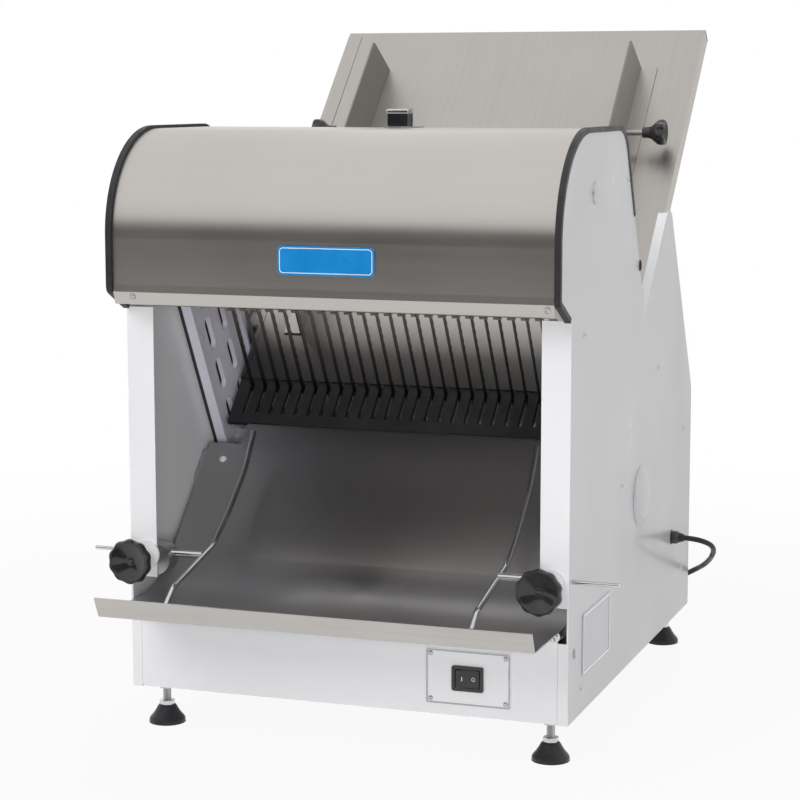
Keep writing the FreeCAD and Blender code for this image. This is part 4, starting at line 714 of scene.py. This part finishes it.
def foot_bell(spot):
    """The rubber bell that stands on the bench."""
    outline =[(0.0, 0.0), (0.0200, 0.0), (0.0212, 0.0010), (0.0215, 0.0036), (0.0206, 0.0060),
               (0.0172, 0.0100), (0.0138, 0.0150), (0.0116, 0.0190), (0.0098, 0.0212), (0.0070, 0.0220),
               (0.0048, 0.0221)]
    return turned([(max(0.0, r), max(0.0, z)) for r, z in soften(outline)], spot)


def foot_screw(spot):
    """The foot's threaded stud."""
    def thread(angle, radius, height):
        if height < THREAD_FROM:
            return radius
        climb = (height / THREAD_PITCH - angle / (2 * math.pi)) % 1.0
        return radius - THREAD_DEPTH * abs(2 * climb - 1)

    profile = [(0.0, SCREW_BOTTOM), (SCREW_RADIUS, SCREW_BOTTOM)]
    for step in range(THREAD_STEPS + 1):
        profile.append((SCREW_RADIUS, RINGS_FROM + THREAD_PITCH / STEPS_A_PITCH * step))
    return turned(profile + [(0.0, SCREW_TOP)], spot, None, 24, thread)


def foot_head(spot):
    """The hexagon head that the bell turns on."""
    def six_flats(angle, radius, height):
        return min(radius, HEAD_FLAT / math.cos(from_flat(angle))) if radius > 0.006 else radius

    profile = [(0.0050, 0.0219), (0.0090, 0.0219), (0.0092, 0.0222), (0.0092, 0.0262), (0.0086, 0.0268),
               (0.0050, 0.0270)]
    return turned(profile, spot, None, 48, six_flats)


for end, y in FOOT_ROWS:
    for hand, side in (("left", -1), ("right", 1)):
        foot, spot = f"{end}_{hand}_foot", at(FOOT_X * side, y, 0)
        piece(f"{foot}_bell", [foot_bell(spot)], foot, "foot_rubber", foot)
        piece(f"{foot}_screw", [foot_screw(spot)], foot, "machined_steel", sharp=80)
        piece(f"{foot}_head", [foot_head(spot)], foot, "chrome_wire", sharp=25)


# ---------------------------------------------------------------- screws

RECESS_REACH, RECESS_HALF_WIDTH = 0.62, 0.14        # shares of the head's radius
RECESS_FLOOR = 0.35                                 # share of the head's height
FIRST_SPIN, NEXT_SPIN = 0.5, 1.3                    # radians; no two heads stand alike


def screw_dome(radius, height):
    return [(radius, 0.0), (radius, height * 0.25), (radius * 0.93, height * 0.6),
            (radius * 0.72, height * 0.88), (radius * 0.4, height), (0.0, height)]


def cross_cutters(centre, turn, radius, height):
    """The two bars that cut the cross into one head."""
    cutters = []
    for quarter in (0, math.pi / 2):
        aimed = turn @ Matrix.Rotation(quarter, 3, "Z")
        points, faces = slab(Vector((-RECESS_REACH, -RECESS_HALF_WIDTH, 0)),
                             Vector((RECESS_REACH, RECESS_HALF_WIDTH, 1)), 0.02, 1)
        placed = [aimed @ Vector((p.x * radius, p.y * radius, height * (RECESS_FLOOR + p.z))) + centre
                  for p in points]
        cutters.append((placed, faces))
    return cutters


def cut_away(mesh, cutter):
    """The mesh without what the cutter covers."""
    solid, tool = add_object("solid", mesh), add_object("tool", cutter)
    carve = solid.modifiers.new("recess", "BOOLEAN")
    carve.operation = "DIFFERENCE"
    carve.object = tool
    carve.use_self = True
    bpy.context.view_layer.update()
    graph = bpy.context.evaluated_depsgraph_get()
    carved = bpy.data.meshes.new_from_object(solid.evaluated_get(graph))
    for spare in (solid, tool):
        bpy.data.objects.remove(spare)
    return carved


def cross_screws(name, places, slot, radius, height, *replaced):
    """Domed heads with a cross recess; places holds (centre on the surface, outward direction)."""
    heads, cutters = [], []
    for index, (centre, outward) in enumerate(places):
        turn = Vector(outward).to_track_quat("Z", "Y").to_matrix()
        heads.append(turned(screw_dome(radius, height), centre, turn, 28))
        spin = Matrix.Rotation(FIRST_SPIN + NEXT_SPIN * index, 3, "Z")
        cutters += cross_cutters(centre, turn @ spin, radius, height)
    carved = cut_away(mesh_of(name, *heads), mesh_of(f"{name}_tool", *cutters))
    finished(name, carved, "body", slot, *replaced)


PANEL_SCREWS = ((254, 642), (430, 400), (240, 280), (54, 480), (54, 80), (590, 110), (590, 300))    # (y, z)
SWITCH_SCREW_X, SWITCH_SCREW_Z = 44, 26         # from the middle of the switch plate
TRAY_SCREW = (251, -5, 152)
LIP_SCREWS = ((-235.4, -45.7, 516), (250.3, -45.7, 516))
FORWARD = (0, -1, 0)
LIP_OUT = (0, -0.943, -0.334)                   # out of the hood's folded lip

panel_places = [(at(PANEL_X * side, y, z), (side, 0, 0)) for side in (-1, 1) for y, z in PANEL_SCREWS]
switch_corners = [(SWITCH_X + SWITCH_SCREW_X * side, SWITCH_Z + SWITCH_SCREW_Z * up)
                  for side in (-1, 1) for up in (-1, 1)]
switch_places = [(at(x, SWITCH_PLATE_Y, z), FORWARD) for x, z in switch_corners]
tray_places = [(mirrored_place(TRAY_SCREW, side), FORWARD) for side in (-1, 1)]
lip_places = [(at(*place), LIP_OUT) for place in LIP_SCREWS]
cross_screws("panel_heads", panel_places, "screw_steel", 0.0035, 0.0014, "case_screws")
cross_screws("switch_heads", switch_places, "screw_steel", 0.003, 0.0013)
cross_screws("tray_heads", tray_places, "chrome_wire", 0.0062, 0.0040)
cross_screws("lip_heads", lip_places, "screw_steel", 0.0038, 0.0018)


# ---------------------------------------------------------------- hood trim, caps and buttons

# The hood's lower hem, (y, z) in millimetres: down its outer face, round the bend and up inside
HEM = [(-47.30, 529.5), (-47.45, 521.4), (-42.7, 508.0), (-42.1, 507.2), (-41.2, 507.0), (-40.6, 507.6),
       (-40.7, 508.6), (-45.3, 521.8), (-46.2, 529.5)]
HEM_X = 258.4
LATCH_CAP = ((-13.6, 187.6, 719.2), (13.6, 206.4, 724.9))
LATCH_CAP_EDGE = 0.0016
PANEL_CAPS = ((340, 250, 0.038, 0.0078), (98, 634, 0.013, 0.0042))      # y, z, radius and rise
FLANGE_SHARE, FLANGE_TOP = 0.93, 0.0012     # where a cap's flat flange ends, and its thickness
TRAY_RIVET = (230.9, 191.2, 292.8)


def cap_profile(radius, rise):
    """A pressed cap: flat flange, then a crowned middle."""
    inner = radius * FLANGE_SHARE
    profile = [(radius, 0.0), (radius, 0.0007), (radius * 0.985, 0.0011), (inner, FLANGE_TOP)]
    for step in range(1, 11):
        angle = math.pi / 2 * step / 10
        profile.append((inner * math.cos(angle), FLANGE_TOP + (rise - FLANGE_TOP) * math.sin(angle)))
    return profile


def panel_cap(side, y, z, radius, rise):
    return turned(cap_profile(radius, rise), at(PANEL_X * side, y, z), outwards(side), 64)


def oval_buttons(y, z, half_y, half_z, height):
    """A small oval button on each side panel."""
    parts = []
    for side in (-1, 1):
        points, faces = turned(cap_profile(1.0, height), Vector((0, 0, 0)), outwards(side), 28)
        foot = at(PANEL_X * side, y, z)
        parts.append(([foot + Vector((p.x, p.y * half_y, p.z * half_z)) for p in points], faces))
    return parts


def tray_rivet(side):
    """A domed rivet on the tray's wing, which leans back by 45 degrees."""
    profile = [(0.0, -0.0006), (0.0046, -0.0006), (0.0046, 0.0004), (0.0040, 0.0014), (0.0024, 0.0021),
               (0.0, 0.0024)]
    return turned(profile, mirrored_place(TRAY_RIVET, side), Matrix.Rotation(math.radians(45), 3, "X"), 28)


piece("hood_hem", [extruded(HEM, -HEM_X, HEM_X)], "body", "hood_steel", sharp=12)
piece("latch_cap", [slab(*(at(*corner) for corner in LATCH_CAP), LATCH_CAP_EDGE)], "body", "chrome_wire")
piece("panel_caps", [panel_cap(side, *cap) for side in (1, -1) for cap in PANEL_CAPS], "body", "plate_alloy",
      "panel_plugs", sharp=50)
piece("edge_buttons", oval_buttons(317.5, 537, 0.0026, 0.0068, 0.0026), "body", "black_rubber")
piece("front_buttons", oval_buttons(24.8, 126.6, 0.0034, 0.0058, 0.0018), "body", "machined_steel")
piece("tray_rivets", [tray_rivet(side) for side in (-1, 1)], "body", "white_paint")


# ---------------------------------------------------------------- plate borders and rocker marks

RIGHTWARD, BACKWARD = (1, 0, 0), (0, 1, 0)
NAME_PLATE = (0, -49, 562)
RATING_PLATE = (265.8, 122, 128)
ROCKER_TILT = math.radians(6)
ROCKER_RIDGE = Vector((0, -3.7, 0))         # millimetres from the switch's middle, before the tilt
MARK_GAP, MARK_LIFT = 0.00002, 0.00012      # off the key's face, so that the two don't flicker


def rocker_marks():
    """The bar and the ring of an on and off key, one on each half of its face."""
    tilt = Matrix.Rotation(ROCKER_TILT, 3, "Z")
    bar = (0.0005, 0.0024, 0.00045, 0.0004)         # half width, half height, corner and line width
    ring = (0.0022, 0.0022, 0.0022, 0.0006)
    parts = []
    for side, mark in ((-1, bar), (1, ring)):
        key_end = Vector((13.2 * side, -6.7, 0))
        along = (tilt @ (key_end - ROCKER_RIDGE)).normalized() * side
        centre = at(SWITCH_X, 0, SWITCH_Z) + tilt @ ((key_end + ROCKER_RIDGE) / 2) / 1000
        parts.append(raised_line(centre + along.cross(UP) * MARK_GAP, along, *mark, MARK_LIFT))
    return parts


piece("name_border", [raised_line(at(*NAME_PLATE), RIGHTWARD, 0.0545, 0.0140, 0.0046, 0.0008, 0.00012)],
      "body", "white_paint")
piece("switch_border", [raised_line(at(SWITCH_X, SWITCH_PLATE_Y, SWITCH_Z), RIGHTWARD, 0.0490, 0.0310, 0.0018,
                                    0.0016, 0.0006)], "body", "machined_steel")
piece("rating_border", [raised_line(at(*RATING_PLATE), BACKWARD, 0.0615, 0.0345, 0.0030, 0.0026, 0.0006)],
      "body", "chrome_wire")
piece("rocker_marks", rocker_marks(), "rocker", "white_paint")


# ---------------------------------------------------------------- floor, light and world

WHITE_FROM, WHITE_PAST = 0.5, 1.9           # distance over which the floor goes over to plain white
WHITE_SHARE = 0.92                          # how white it already is under the machine
WORLD_LIGHT = 0.15                          # strength of the world's light on the machine


def sees_white(tree):
    """1 for the rays that see the plain background: camera, glossy and transmission rays."""
    rays = add_node(tree, "LightPath", {})
    seen = rays.outputs["Is Camera Ray"]
    for name in ("Is Glossy Ray", "Is Transmission Ray"):
        seen = add_node(tree, "Math", {0: seen, 1: rays.outputs[name]}, operation="MAXIMUM").outputs[0]
    return seen


def sheet(name, corners, material):
    """One flat face as an object."""
    mesh = bpy.data.meshes.new(name)
    mesh.from_pydata(corners, [], [(0, 1, 2, 3)])
    mesh.materials.append(material)
    return add_object(name, mesh)


def floor_look():
    """A matt floor that catches the shadows and fades into the white background."""
    material = bpy.data.materials.new("floor")
    material.use_nodes = True
    tree = material.node_tree
    tree.nodes.clear()
    cloud = add_node(tree, "TexNoise", {"Scale": 3.0})
    shade = add_node(tree, "MapRange", {"Value": cloud.outputs["Fac"], "To Min": 0.6, "To Max": 0.64})
    matt = add_node(tree, "BsdfDiffuse", {"Color": shade.outputs["Result"]})
    where = add_node(tree, "TexCoord", {})
    distance = add_node(tree, "VectorMath", {0: where.outputs["Object"]}, operation="LENGTH")
    fade = add_node(tree, "MapRange", {"Value": distance.outputs["Value"], "From Min": WHITE_FROM,
                                       "From Max": WHITE_PAST, "To Min": WHITE_SHARE, "To Max": 1.0},
                    interpolation_type="SMOOTHSTEP")
    share = add_node(tree, "Math", {0: sees_white(tree), 1: fade.outputs["Result"]}, operation="MULTIPLY")
    glow = add_node(tree, "Emission", {})
    both = add_node(tree, "MixShader", {0: share.outputs[0], 1: matt.outputs[0], 2: glow.outputs[0]})
    add_node(tree, "OutputMaterial", {"Surface": both.outputs[0]})
    return material


def card_look():
    material = bpy.data.materials.new("dark_card")
    material.use_nodes = True
    shader = material.node_tree.nodes["Principled BSDF"]
    shader.inputs["Base Color"].default_value = (0.03, 0.03, 0.03, 1)
    shader.inputs["Roughness"].default_value = 0.9
    return material


def dark_card():
    """A dark card in front of the machine, seen only as a reflection in its steel."""
    left, right, y, low, high = -3.2, 2.4, -2.1, 0.2, 1.02
    corners = [(left, y, low), (right, y, low), (right, y, high), (left, y, high)]
    card = sheet("dark_card", corners, card_look())
    card.visible_camera = False
    card.visible_diffuse = False
    card.visible_shadow = False
    return card


def softbox(name, place, towards, size, power):
    """An area lamp that isn't mirrored in the steel."""
    lamp = bpy.data.lights.new(name, "AREA")
    lamp.shape = "RECTANGLE"
    lamp.size, lamp.size_y = size
    lamp.energy = power
    made = add_object(name, lamp)
    made.location = place
    made.rotation_euler = (Vector(towards) - Vector(place)).to_track_quat("-Z", "Y").to_euler()
    made.visible_glossy = False


def plain_world():
    """White to look at, and a weak even light for everything else."""
    world = bpy.data.worlds.new("studio")
    bpy.context.scene.world = world
    world.use_nodes = True
    tree = world.node_tree
    tree.nodes.clear()
    level = add_node(tree, "MapRange", {"Value": sees_white(tree), "To Min": WORLD_LIGHT, "To Max": 1.0})
    inputs = {"Color": (1.0, 1.0, 1.0, 1.0), "Strength": level.outputs["Result"]}
    backdrop = add_node(tree, "Background", inputs)
    add_node(tree, "OutputWorld", {"Surface": backdrop.outputs[0]})


floor = sheet("floor", [(-9, -7, 0), (9, -7, 0), (9, 9, 0), (-9, 9, 0)], floor_look())
card = dark_card()

softbox("key", (-1.6, -3.2, 2.6), (0, 0, 0.35), (2.4, 2.0), 74)
softbox("top", (0.2, 0.3, 3.4), (0, 0, 0.4), (3.0, 3.0), 50)
softbox("back", (-0.5, 3.5, 1.5), (0, 0, 0.4), (2.0, 1.6), 46)
softbox("front", (1.25, -3.0, 0.6), (0, -0.2, 0.4), (1.4, 0.9), 45)
plain_world()

bpy.context.scene.view_settings.view_transform = "Standard"
